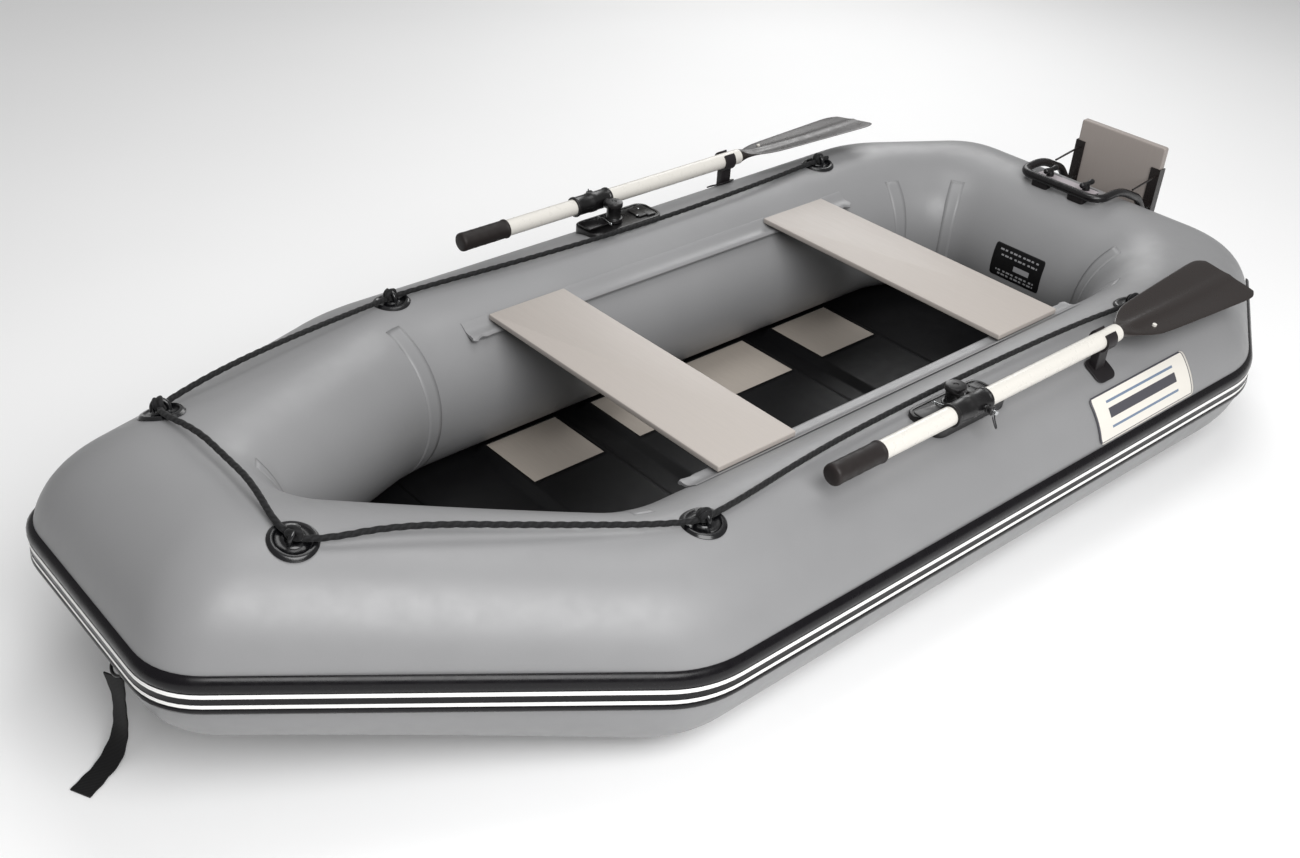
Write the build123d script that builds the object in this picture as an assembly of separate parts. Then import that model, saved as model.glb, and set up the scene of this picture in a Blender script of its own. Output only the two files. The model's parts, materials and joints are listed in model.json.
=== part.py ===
from build123d import *
from math import acos, asin, atan2, cos, degrees, hypot, pi, radians, sin, sqrt
import os

# Inflatable dinghy. +X to the bow, +Y to port, +Z up, origin on the ground amidships. Millimetres.

# ---- hull: one closed ring of eight mitred tube panels ----
TUBE_R = 185.0
FABRIC = 1.2
GLUE_LINE = 0.3
CROWN_Z = 2 * TUBE_R
SIDE_AXIS_Y = 452.0
BOW_BEND_X = 590.0
BOW_AXIS_X = 1182.0
BOW_HALF_WIDTH = TUBE_R - 55.0
BOW_RISE = 110.0
STERN_BEND_X = -925.0
STERN_AXIS_X = -1165.0
STERN_HALF_WIDTH = 308.0
SEAM_TAPE_WIDTH = 30.0
SEAM_TAPE_T = 0.8
BAFFLE_DEPTH = 120.0
BAFFLE_FLANGE = 25.0

# ---- rubbing strake ----
STRAKE_LOW_Z = TUBE_R - 20.0
STRAKE_HIGH_Z = TUBE_R + 51.0
STRAKE_T = 8.0

# ---- floor: sealed skin under a mat with plywood slats in its sleeves ----
FLOOR_Z = 6.0
FLOOR_SKIN_T = 1.2
MAT_GAP = 0.3
MAT_FRONT_GAP = 10.0
MAT_SIDE_GAP = 3.0
BOW_SKIN_LIFT = 2.6
MAT_SHEET_T = 2.0
SLEEVE_WALL = 1.6
SLAT_LENGTH = 212.0
SLAT_T = 12.0
SLAT_EDGE_GAP = 10.0
SLAT_PITCH = 292.5
SLAT_FIRST_X = 258.0
SLAT_COUNT = 4
WINDOW_LENGTH = 190.0
WINDOW_WIDTH = 172.0
WINDOW_EDGE = 6.0
POCKET_CLEARANCE = 0.4

# ---- seats, their slides and the rails that carry them ----
SEAT_WIDTH = 196.0
SEAT_T = 12.0
SEAT_CORNER_R = 6.0
SEAT_END_GAP = 1.9
SEAT_STEM = 5.4
FRONT_SEAT_X = 251.0
REAR_SEAT_X = -544.0
RAIL_FRONT_X = 412.0
RAIL_REAR_X = -718.0
RAIL_BEAD_R = 4.0
RAIL_STANDOFF = 11.5
RAIL_ANGLE = 44.3
RAIL_WEB_T = 1.6
RAIL_FOOT_ARC = 12.0
SLIDE_CLEARANCE = 0.6
SLIDE_WALL = 1.8
SLIDE_SLOT = 6.0
SLIDE_FLANGE = 26.0
SLIDE_LENGTH = 150.0
SEAT_SCREW_R = 2.4
SEAT_SCREW_INSET = 55.0
SEAT_SCREW_IN = 18.0

# ---- oarlocks ----
LOCK_X = -105.0
LOCK_Y = SIDE_AXIS_Y + 33.0
BASE_BOW_X = -18.0
BASE_STERN_X = -224.0
BASE_HALF_WIDTH = 42.0
BASE_TOP_Z = CROWN_Z + 7.0
POST_R = 8.0
POST_TOP_Z = BASE_TOP_Z + 25.0
POST_DEPTH = 7.0
RUN_CLEARANCE = 0.05
TURRET_R = 21.0
TURRET_TOP_Z = BASE_TOP_Z + 47.0
TURRET_GAP = 0.5
OAR_OFFSET = 50.0
OAR_AXIS_Z = BASE_TOP_Z + 33.0
PIN_R = 5.0
PIN_NUB_R = 9.0
PIN_NUB_LENGTH = 14.0
PIN_TAIL = 8.0
PIN_CLIP_R = 1.25
PIN_CLIP_LOOP = 5.0
PIN_CLIP_TAIL = (-10.0, 4.0, -26.0)
PIN_BOSS_WALL = 6.0
LATCH_LENGTH = 66.0
LATCH_WIDTH = 44.0
LATCH_T = 3.8
LATCH_LIFT = 3.4
LATCH_PIN_R = 1.2
LATCH_GAP = 2.0
LATCH_CORNER_R = 9.0
LATCH_EDGE = 4.0
EAR = (8.0, 4.0, 8.0)
EAR_GAP = 1.0

# ---- oars ----
SHAFT_R = 18.0
SHAFT_WALL = 1.6
SHAFT_FRONT_GAP = 4.0
GRIP_END_X = 283.0
GRIP_LENGTH = 122.0
GRIP_R = 20.5
GRIP_EDGE_R = 3.0
COLLAR_R = 23.0
COLLAR_BOW_X = -28.0
COLLAR_STERN_X = -128.0
SHAFT_END_X = -542.0
BLADE_END_X = -962.0
BLADE_HALF_ROOT = 52.0
BLADE_HALF_TIP = 74.0
BLADE_T = 6.0
BLADE_TILT = 10.0
BLADE_NECK = 46.0
BLADE_ROOT = 40.0
BLADE_SHOULDER = 88.0
BLADE_TIP_CORNER = 34.0
BLADE_CORNER_R = 6.0
BLADE_HOLE_R = 3.0
SOCKET_DEPTH = 60.0
SOCKET_TAIL = 30.0
FIT_GAP = 0.2

# ---- rubber clips that hold the stowed shafts ----
CLIP_X = -500.0
CLIP_PAD_LENGTH = 60.0
CLIP_PAD_ARC = 26.0
CLIP_PAD_T = 3.0
CLIP_WIDTH = 30.0
CLIP_WALL = 5.0
CLIP_MOUTH = 24.0
CLIP_STEM_WIDTH = 18.0
CLIP_STEM_DEPTH = 30.0
CLIP_BORE_GAP = 0.4
CLIP_PAD_SHARES = (1.5, 0.6)

# ---- grab line and its eyelets ----
ROPE_R = 5.0
ROPE_SIDE_Y = 432.0
ROPE_LIFT = 0.8
EYELET_PATCH_R = 40.0
EYELET_PATCH_T = 3.0
EYELET_LOOP_R = 14.0
EYELET_ROD_R = 4.5
EYELET_LEG = 5.0
BOW_EYELET_BACK = 74.5
BOW_EYELET_OUT = 42.0
SIDE_EYELET_X = BOW_BEND_X - 86.0
SIDE_EYELET_OUT = 12.0
QUARTER_EYELET_X = STERN_BEND_X + 180.0

# ---- outboard bracket ----
BOARD_FRONT_X = STERN_AXIS_X - TUBE_R - 6.0
BOARD_T = 18.0
BOARD_WIDTH = 238.0
BOARD_TOP_Z = CROWN_Z + 92.0
BOARD_HEIGHT = 262.0
HOOP_R = 10.0
HOOP_HALF_WIDTH = 112.0
HOOP_REACH = TUBE_R + 22.0
HOOP_ANGLES = (38.0, 10.0, -15.0)
HOOP_FOOT_Z = TUBE_R + 105.0
HOOP_RADII = (70.0, 150.0, 34.0)
UPRIGHT_TOP_Z = CROWN_Z + 38.0
UPRIGHT_T = 3.0
UPRIGHT_FLANGE = 26.0
UPRIGHT_LIP = 1.3
BRACE_R = 2.5
BRACE_ALONG = 0.4
BRACE_DROP = 20.0
BOLT_R = 4.0
BOLT_HEAD_R = 7.0
BOLT_HEAD_T = 4.0
BLOCK_Y = 52.0
BLOCK_WIDTH = 46.0
BLOCK_FRONT_X = STERN_AXIS_X + 58.0
BLOCK_REAR_X = STERN_AXIS_X - 13.0
BLOCK_TOP_Z = CROWN_Z + 10.0
CLAMP_X = STERN_AXIS_X + 15.0
CLAMP_SCREW_R = 5.0
CLAMP_DEPTH = 8.0
CLAMP_HUB_R = 9.0
CLAMP_BAR_R = 5.0
CLAMP_BAR_HALF = 24.0
CLAMP_BAR_Z = BLOCK_TOP_Z + 20.0
TIE_PLATE = (30.0, 160.0, 3.0)

# ---- valves ----
VALVE_X = 32.0
VALVE_Z = TUBE_R - 35.0
VALVE_STEM_R = 20.0
VALVE_BORE_R = 12.0
VALVE_FLANGE_R = 30.0
VALVE_FLANGE_T = 4.0
VALVE_DEPTH = 30.0
VALVE_LIP = 4.0
CAP_R = 17.0
CAP_T = 6.0
CAP_PLUG = 8.0
CAP_RIDGE_T = 5.0

# ---- tow strap, labels ----
STRAP_WIDTH = 38.0
STRAP_T = 3.0
TOW_ANGLE = -40.0
TOW_PATCH_R = 34.0
TOW_LOOP_R = 21.0
TOW_ROD_R = 3.0
STRAP_HEADING = 27.0
STRAP_ROUTE = [(-3, 118), (0, 78), (8, 37), (37, 7), (78, 2.2), (116, 2.4)]
LABEL_X = (-752.0, -420.0)
LABEL_ANGLES = (17.0, 47.0)
LABEL_T = 0.6
PLATE_HALF = 72.0
PLATE_Y = 15.0
PLATE_ANGLES = (-6.0, 20.0)

UP = Vector(0, 0, 1)
FAR = 4000.0
CUT_OVER = 1.0


def unit(v):
    """The vector at length one."""
    return v.normalized()


# ---- the ring of tube axes ----
PORT_CORNERS = [
    Vector(BOW_AXIS_X, BOW_HALF_WIDTH, TUBE_R + BOW_RISE),
    Vector(BOW_BEND_X, SIDE_AXIS_Y, TUBE_R),
    Vector(STERN_BEND_X, SIDE_AXIS_Y, TUBE_R),
    Vector(STERN_AXIS_X, STERN_HALF_WIDTH, TUBE_R),
]
CORNERS = PORT_CORNERS + [Vector(v.X, -v.Y, v.Z) for v in reversed(PORT_CORNERS)]
PANELS = [
    "bow_port",
    "side_port",
    "quarter_port",
    "stern",
    "quarter_starboard",
    "side_starboard",
    "bow_starboard",
    "bow",
]
COUNT = len(CORNERS)


def start(i):
    """The axis corner that panel i runs from."""
    return CORNERS[i % COUNT]


def heading(i):
    """The direction of panel i, from its first corner to its next."""
    return unit(start(i + 1) - start(i))


def outward(i):
    """The level direction out of the boat, square to panel i."""
    return unit(heading(i).cross(UP))


def mitre(i):
    """The plane that panels i-1 and i share, its normal along the ring."""
    return Plane(origin=start(i), z_dir=unit(heading(i - 1) + heading(i)))


def rod(a, b, radius):
    """A round bar from a to b."""
    return extrude(Plane(origin=a, z_dir=unit(b - a)) * Circle(radius), (b - a).length)


def ring_rod(i, radius):
    """A bar on the axis of panel i, long enough to be cut at both mitres."""
    over = heading(i) * (2 * TUBE_R)
    return rod(start(i) - over, start(i + 1) + over, radius)


def cut(shape, plane, keep=Keep.TOP):
    """The part of a shape on one side of a plane."""
    return split(shape, bisect_by=plane, keep=keep)


def between_mitres(i, shape):
    """A shape trimmed to the stretch of panel i."""
    return cut(cut(shape, mitre(i)), mitre(i + 1), Keep.BOTTOM)


def skin_of(i, inner, outer):
    """The hollow tube of panel i between two radii."""
    return between_mitres(i, ring_rod(i, outer) - ring_rod(i, inner))


def seam_point(i, radius, z):
    """Where the outboard side of the mitre at corner i, at this radius, has the height z."""
    before, after = heading(i - 1), heading(i)
    across = unit(before - after)
    along = unit(before.cross(after))
    half = acos(max(-1.0, min(1.0, before.dot(after)))) / 2
    a = radius * across.Z / cos(half)
    b = radius * along.Z
    turn = (z - start(i).Z) / hypot(a, b)
    angle = atan2(b, a) + (-1 if b > 0 else 1) * acos(turn)
    point = start(i) + across * (radius * cos(angle) / cos(half)) + along * (radius * sin(angle))
    return point


def ring_height(i, z):
    """A height on the side tubes, carried to corner i by the rise of the bow."""
    return z + start(i).Z - TUBE_R


def strake_part(i):
    """The strake on panel i: an outboard band between two planes through its seam points."""
    inner = TUBE_R + GLUE_LINE
    outer = inner + STRAKE_T
    band = skin_of(i, inner, outer)
    band = cut(band, Plane(origin=start(i), z_dir=outward(i)))
    for z, keep in ((STRAKE_LOW_Z, Keep.TOP), (STRAKE_HIGH_Z, Keep.BOTTOM)):
        a = seam_point(i, outer, ring_height(i, z))
        b = seam_point(i + 1, outer, ring_height(i + 1, z))
        normal = unit((b - a).cross(outward(i)) * -1)
        if normal.Z < 0:
            normal = normal * -1
        band = cut(band, Plane(origin=a, z_dir=normal), keep)
    return band


def foot_on_axis(i, point):
    """The point of panel i's axis nearest to a point."""
    return start(i) + heading(i) * (point - start(i)).dot(heading(i))


def tube_seat(i, x, y, z_guess, toward):
    """A plane on the axis of panel i, its normal through (x, y) at the tube's surface."""
    point = Vector(x, y, z_guess)
    normal = unit(point - foot_on_axis(i, point))
    foot = foot_on_axis(i, point)
    x_dir = unit(toward - normal * toward.dot(normal))
    return Plane(origin=foot, x_dir=x_dir, z_dir=normal)


def patch(i, plane, radius, thickness):
    """A round patch that follows panel i's tube."""
    disc = extrude(plane * Circle(radius), TUBE_R + 40)
    inner = TUBE_R + GLUE_LINE
    return disc & (ring_rod(i, inner + thickness) - ring_rod(i, inner))


def starboard(shape):
    """The mirror image of a port piece."""
    return mirror(shape, about=Plane.XZ)


def arc_sector(axis, from_angle, to_angle, inner, outer, inboard=False):
    """A ring sector across a side tube, angles up from level, on the outboard or inboard side."""
    sign = -1 if inboard else 1
    centre = Vector(0, axis.Y, axis.Z)
    points = []
    for radius, angles in ((inner, (from_angle, to_angle)), (outer, (to_angle, from_angle))):
        for angle in angles:
            a = radians(angle)
            points.append(centre + Vector(0, sign * cos(a), sin(a)) * radius)
    mid = radians((from_angle + to_angle) / 2)
    mids = [centre + Vector(0, sign * cos(mid), sin(mid)) * radius for radius in (inner, outer)]
    edges = [
        ThreePointArc(points[0], mids[0], points[1]),
        Line(points[1], points[2]),
        ThreePointArc(points[2], mids[1], points[3]),
        Line(points[3], points[0]),
    ]
    return make_face(edges)


# ---- hull pieces ----
def valve_plane():
    """The port valve's seat on the inner side of the side tube."""
    point = Vector(VALVE_X, SIDE_AXIS_Y - sqrt(TUBE_R**2 - (TUBE_R - VALVE_Z) ** 2), VALVE_Z)
    foot = Vector(VALVE_X, SIDE_AXIS_Y, TUBE_R)
    return Plane(origin=foot, x_dir=Vector(1, 0, 0), z_dir=unit(point - foot))


def hull():
    """The eight tube panels, their inner seam tapes and the two baffles."""
    made = {}
    valve_hole = extrude(valve_plane() * Circle(VALVE_STEM_R + FIT_GAP), TUBE_R + 5)
    for i, name in enumerate(PANELS):
        panel = skin_of(i, TUBE_R - FABRIC, TUBE_R)
        if name == "side_port":
            panel = panel - valve_hole
        if name == "side_starboard":
            panel = panel - starboard(valve_hole)
        made["tube_" + name] = [panel]
    tapes = []
    inside = TUBE_R - FABRIC - GLUE_LINE
    for i in range(COUNT):
        seam = mitre(i)
        reach = seam.z_dir * (SEAM_TAPE_WIDTH / 2)
        before = Plane(origin=seam.origin - reach, z_dir=seam.z_dir)
        after = Plane(origin=seam.origin + reach, z_dir=seam.z_dir)
        first = skin_of(i - 1, inside - SEAM_TAPE_T, inside)
        second = skin_of(i, inside - SEAM_TAPE_T, inside)
        tapes.append(cut(first, before))
        tapes.append(cut(second, after, Keep.BOTTOM))
    made["seam_tapes"] = tapes
    made["air_baffles"] = [
        baffle(BOW_AXIS_X, TUBE_R + BOW_RISE, inside - SEAM_TAPE_T - GLUE_LINE),
        baffle(STERN_AXIS_X, TUBE_R, inside),
    ]
    return made


def baffle(x, z, rim):
    """A cone of fabric across the tube at the middle of the bow or stern, with its glued flange."""
    profile = Polyline(
        (rim, BAFFLE_FLANGE),
        (rim, 0),
        (0, -BAFFLE_DEPTH - FABRIC),
        (0, -BAFFLE_DEPTH),
        (rim - FABRIC, 0),
        (rim - FABRIC, BAFFLE_FLANGE),
        close=True,
    )
    cone = revolve(make_face(Plane.XZ * profile), axis=Axis.Z)
    return Plane(origin=(x, 0, z), x_dir=(0, 0, 1), z_dir=(0, 1, 0)) * cone


def strake():
    """The strake round the boat, except across the stern."""
    runs = [i for i, name in enumerate(PANELS) if name != "stern"]
    return {"rubbing_strake": [strake_part(i) for i in runs]}


# ---- floor ----
def offset_corner(i, inset):
    """Corner i of the ring moved inboard so that both its panels move in by the inset, in plan."""
    before = unit(Vector(heading(i - 1).X, heading(i - 1).Y, 0))
    after = unit(Vector(heading(i).X, heading(i).Y, 0))
    across = unit(after - before)
    half = acos(max(-1.0, min(1.0, before.dot(after)))) / 2
    return start(i) + across * (inset / cos(half))


def floor():
    """The floor skin, the mat with its sleeves and windows, and the plywood slats."""
    skin_inset = sqrt(TUBE_R**2 - (TUBE_R - FLOOR_Z - FLOOR_SKIN_T) ** 2) + GLUE_LINE
    corners = [offset_corner(i, skin_inset) for i in range(COUNT)]
    flat = make_face(Polyline(*[(c.X, c.Y) for c in corners[1:7]], close=True))
    flat_skin = Pos(0, 0, FLOOR_Z) * extrude(flat, FLOOR_SKIN_T)
    rise = Vector(BOW_AXIS_X - BOW_BEND_X, 0, BOW_RISE)
    hinge = corners[1].X + GLUE_LINE
    incline = Plane(origin=(hinge, 0, FLOOR_Z), x_dir=unit(rise), z_dir=unit(rise.cross(Vector(0, 1, 0))))
    slope = rise.length / (BOW_AXIS_X - BOW_BEND_X)
    bow_inset = sqrt(TUBE_R**2 - (TUBE_R - FLOOR_Z - FLOOR_SKIN_T - BOW_SKIN_LIFT) ** 2) + GLUE_LINE
    bow_back, bow_front = offset_corner(1, bow_inset), offset_corner(0, bow_inset)
    reach = (bow_front.X - hinge) * slope
    outline = [(0, bow_back.Y), (reach, bow_front.Y), (reach, -bow_front.Y), (0, -bow_back.Y)]
    bow_skin = extrude(incline * make_face(Polyline(*outline, close=True)), FLOOR_SKIN_T)
    sheet_z = FLOOR_Z + FLOOR_SKIN_T + MAT_GAP
    slat_z = sheet_z + MAT_SHEET_T + POCKET_CLEARANCE
    sleeve_top = slat_z + SLAT_T + POCKET_CLEARANCE + SLEEVE_WALL
    slat_width = 2 * (SIDE_AXIS_Y - sqrt(TUBE_R**2 - (TUBE_R - sleeve_top) ** 2) - SLAT_EDGE_GAP)
    mat_inset = sqrt(TUBE_R**2 - (TUBE_R - sheet_z - MAT_SHEET_T) ** 2) + MAT_SIDE_GAP
    mat_corners = [offset_corner(i, mat_inset) for i in range(1, 7)]
    mat_front = BOW_BEND_X - MAT_FRONT_GAP
    mat = extrude(make_face(Polyline(*[(c.X, c.Y) for c in mat_corners], close=True)), MAT_SHEET_T)
    mat = cut(Pos(0, 0, sheet_z) * mat, Plane(origin=(mat_front, 0, 0), z_dir=(1, 0, 0)), Keep.BOTTOM)
    seated = (Align.CENTER, Align.CENTER, Align.MIN)
    slats = []
    for k in range(SLAT_COUNT):
        x = SLAT_FIRST_X - k * SLAT_PITCH
        sleeve_length = SLAT_LENGTH + 2 * (POCKET_CLEARANCE + SLEEVE_WALL)
        sleeve_width = slat_width + 2 * (POCKET_CLEARANCE + SLEEVE_WALL)
        mat += Pos(x, 0, sheet_z) * Box(sleeve_length, sleeve_width, sleeve_top - sheet_z, align=seated)
    for k in range(SLAT_COUNT):
        x = SLAT_FIRST_X - k * SLAT_PITCH
        grow = 2 * POCKET_CLEARANCE
        pocket = Box(SLAT_LENGTH + grow, slat_width + grow, SLAT_T + grow, align=seated)
        mat -= Pos(x, 0, slat_z - POCKET_CLEARANCE) * pocket
        for side in (1, -1):
            y = side * (slat_width / 2 - WINDOW_EDGE - WINDOW_WIDTH / 2)
            mat -= Pos(x, y, slat_z) * Box(WINDOW_LENGTH, WINDOW_WIDTH, 3 * SLAT_T, align=seated)
        slats.append(Pos(x, 0, slat_z) * Box(SLAT_LENGTH, slat_width, SLAT_T, align=seated))
    return {"floor_skin": [flat_skin, bow_skin], "floor_mat": [mat], "floor_slats": slats}


# ---- seats ----
def rail_bead_centre():
    """The centre of the port rail's bead, in a plane across the boat."""
    a = radians(RAIL_ANGLE)
    reach = TUBE_R + RAIL_STANDOFF
    return Vector(0, SIDE_AXIS_Y - reach * cos(a), TUBE_R + reach * sin(a))


def seat_bottom():
    """The height of the boards' underside, over the slides."""
    return rail_bead_centre().Z + RAIL_BEAD_R + SLIDE_CLEARANCE + SLIDE_WALL + SEAT_STEM


def seat_length():
    """The length of a board that ends just clear of the tubes."""
    reach = sqrt(TUBE_R**2 - (seat_bottom() - TUBE_R) ** 2)
    return 2 * (SIDE_AXIS_Y - reach - SEAT_END_GAP)


def radial_box(inner, outer, width):
    """A strip across the port tube's inner side, along the radius at the rail's angle."""
    a = radians(RAIL_ANGLE)
    out = Vector(0, -cos(a), sin(a))
    side = Vector(0, sin(a), cos(a)) * (width / 2)
    centre = Vector(0, SIDE_AXIS_Y, TUBE_R)
    corners = [
        centre + out * inner - side,
        centre + out * outer - side,
        centre + out * outer + side,
        centre + out * inner + side,
    ]
    return make_face(Polyline(*corners, close=True))


def seat_rail():
    """A port rail: foot strip, web and bead."""
    inner = TUBE_R + GLUE_LINE
    reach = degrees(RAIL_FOOT_ARC / TUBE_R)
    foot = arc_sector(
        Vector(0, SIDE_AXIS_Y, TUBE_R), RAIL_ANGLE - reach, RAIL_ANGLE + reach, inner, inner + FABRIC, True
    )
    web = radial_box(inner + FABRIC / 2, TUBE_R + RAIL_STANDOFF, RAIL_WEB_T)
    bead = Plane(origin=rail_bead_centre(), z_dir=(1, 0, 0)) * Circle(RAIL_BEAD_R)
    length = RAIL_FRONT_X - RAIL_REAR_X
    pieces = [Pos(RAIL_REAR_X, 0, 0) * extrude(f, length, dir=(1, 0, 0)) for f in (foot, web, bead)]
    return pieces[0] + pieces[1] + pieces[2]


def seat_slide(x):
    """A port seat slide: a split tube round the bead with a flange under the board."""
    centre = rail_bead_centre()
    inner = RAIL_BEAD_R + SLIDE_CLEARANCE
    outer = inner + SLIDE_WALL
    plane = Plane(origin=centre, z_dir=(1, 0, 0))
    ring = extrude(plane * Circle(outer), SLIDE_LENGTH)
    under = seat_bottom()
    flange = Pos(0, centre.Y - SLIDE_FLANGE, under - SLIDE_WALL) * Box(
        SLIDE_LENGTH, SLIDE_FLANGE, SLIDE_WALL, align=(Align.MIN, Align.MIN, Align.MIN)
    )
    stem_y = centre.Y - outer * 0.7
    stem = Pos(0, stem_y, centre.Z) * Box(
        SLIDE_LENGTH, SLIDE_WALL, under - centre.Z, align=(Align.MIN, Align.MIN, Align.MIN)
    )
    bore = extrude(plane * Circle(inner), SLIDE_LENGTH)
    slot = extrude(radial_box(TUBE_R - 5, TUBE_R + RAIL_STANDOFF, SLIDE_SLOT), SLIDE_LENGTH, dir=(1, 0, 0))
    body = ring + flange + stem - bore - slot
    return Pos(x - SLIDE_LENGTH / 2, 0, 0) * body


def seats():
    """Both rails, both boards, their slides and screws."""
    rail = seat_rail()
    made = {"seat_rails": [rail, starboard(rail)]}
    for name, x in (("front", FRONT_SEAT_X), ("rear", REAR_SEAT_X)):
        board = Box(SEAT_WIDTH, seat_length(), SEAT_T, align=(Align.CENTER, Align.CENTER, Align.MIN))
        board = fillet(board.edges().filter_by(Axis.Z), SEAT_CORNER_R)
        board = Pos(x, 0, seat_bottom()) * board
        slide = seat_slide(x)
        screw_y = rail_bead_centre().Y - SEAT_SCREW_IN
        screws = []
        for dx in (-SEAT_SCREW_INSET, SEAT_SCREW_INSET):
            bottom = seat_bottom() - SLIDE_WALL
            shank = Pos(x + dx, screw_y, bottom) * Cylinder(
                SEAT_SCREW_R, SEAT_T, align=(Align.CENTER, Align.CENTER, Align.MIN)
            )
            head = Pos(x + dx, screw_y, bottom) * Cylinder(
                SEAT_SCREW_R * 2, SEAT_SCREW_R, align=(Align.CENTER, Align.CENTER, Align.MAX)
            )
            screws.append(shank + head)
            depth = CUT_OVER + SEAT_T + RUN_CLEARANCE
            hole = Pos(x + dx, screw_y, bottom - CUT_OVER) * Cylinder(
                SEAT_SCREW_R + RUN_CLEARANCE, depth, align=(Align.CENTER, Align.CENTER, Align.MIN)
            )
            slide -= hole
            board -= hole
            board -= starboard(hole)
        made[name + "_seat"] = [board]
        made[name + "_seat_slides"] = [slide, starboard(slide)]
        made[name + "_seat_screws"] = screws + [starboard(s) for s in screws]
    return made


# ---- oarlocks ----
def oarlock_base():
    """A port base on the tube's crown with its upright pivot, its latch and the latch's pin."""
    base_length = BASE_BOW_X - BASE_STERN_X
    middle = (BASE_BOW_X + BASE_STERN_X) / 2
    outline = RectangleRounded(base_length, 2 * BASE_HALF_WIDTH, BASE_HALF_WIDTH * 0.6)
    base = Pos(middle, LOCK_Y, TUBE_R) * extrude(outline, BASE_TOP_Z - TUBE_R)
    base -= ring_rod(1, TUBE_R + GLUE_LINE)
    latch_back = LOCK_X + TURRET_R + LATCH_GAP + LATCH_EDGE
    latch_z = BASE_TOP_Z + LATCH_LIFT
    ear_length, ear_width, ear_height = EAR
    ear_y = LATCH_WIDTH / 2 + EAR_GAP
    for side in (1, -1):
        base += Pos(latch_back, LOCK_Y + side * (ear_y + ear_width / 2), BASE_TOP_Z - CUT_OVER) * Box(
            ear_length, ear_width, ear_height + CUT_OVER, align=(Align.CENTER, Align.CENTER, Align.MIN)
        )
    pin_z = latch_z + LATCH_T / 2
    pin_a = Vector(latch_back, LOCK_Y - ear_y - ear_width, pin_z)
    pin_b = Vector(latch_back, LOCK_Y + ear_y + ear_width, pin_z)
    over = Vector(0, CUT_OVER, 0)
    latch_pin = rod(pin_a, pin_b, LATCH_PIN_R)
    pin_hole = rod(pin_a - over, pin_b + over, LATCH_PIN_R + RUN_CLEARANCE)
    post_low = Vector(LOCK_X, LOCK_Y, BASE_TOP_Z - POST_DEPTH)
    post_high = Vector(LOCK_X, LOCK_Y, POST_TOP_Z)
    post = rod(post_low, post_high, POST_R)
    base = base - pin_hole - rod(post_low, post_high, POST_R + RUN_CLEARANCE)
    latch_outline = RectangleRounded(LATCH_LENGTH, LATCH_WIDTH, LATCH_CORNER_R)
    latch_middle = latch_back - LATCH_EDGE + LATCH_LENGTH / 2
    latch = Pos(latch_middle, LOCK_Y, latch_z) * extrude(latch_outline, LATCH_T)
    return {"oarlock_base": [base], "oarlock_latch": [latch - pin_hole]}, [post, latch_pin]


def oarlock_turret():
    """A port turret on its pivot, with the cross pin that carries the oar, its nub and its clip."""
    low = Vector(LOCK_X, LOCK_Y, BASE_TOP_Z + TURRET_GAP)
    turret = rod(low, Vector(LOCK_X, LOCK_Y, TURRET_TOP_Z), TURRET_R)
    turret -= rod(low - UP, Vector(LOCK_X, LOCK_Y, POST_TOP_Z + TURRET_GAP), POST_R + RUN_CLEARANCE)
    oar_y = LOCK_Y + OAR_OFFSET

    def at(y):
        return Vector(LOCK_X, y, OAR_AXIS_Z)

    boss_start = at(LOCK_Y + POST_R + PIN_BOSS_WALL)
    turret += rod(boss_start, at(oar_y - COLLAR_R - TURRET_GAP), PIN_R + PIN_BOSS_WALL)
    pin_start = LOCK_Y + POST_R + 1
    nub_start = oar_y + COLLAR_R + TURRET_GAP
    nub_end = nub_start + PIN_NUB_LENGTH
    pin = rod(at(pin_start), at(nub_end + PIN_TAIL), PIN_R)
    pin_hole = rod(at(pin_start - GLUE_LINE), at(nub_end + PIN_TAIL + CUT_OVER), PIN_R + RUN_CLEARANCE)
    turret -= pin_hole
    nub = rod(at(nub_start), at(nub_end), PIN_NUB_R) - pin_hole
    eye = at(nub_end + PIN_TAIL / 2)
    top = eye + UP * (PIN_R + PIN_CLIP_LOOP)
    through = eye - UP * (PIN_R + PIN_CLIP_LOOP)
    tail = through + Vector(*PIN_CLIP_TAIL)
    clip_wire = rod(top, through, PIN_CLIP_R) + rod(through, tail, PIN_CLIP_R)
    clip_wire += Pos(through.X, through.Y, through.Z) * Sphere(PIN_CLIP_R)
    pin -= rod(top, through, PIN_CLIP_R + RUN_CLEARANCE)
    return {"oarlock_turret": [turret], "oar_pin": [pin, nub], "oar_pin_clip": [clip_wire]}


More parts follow.
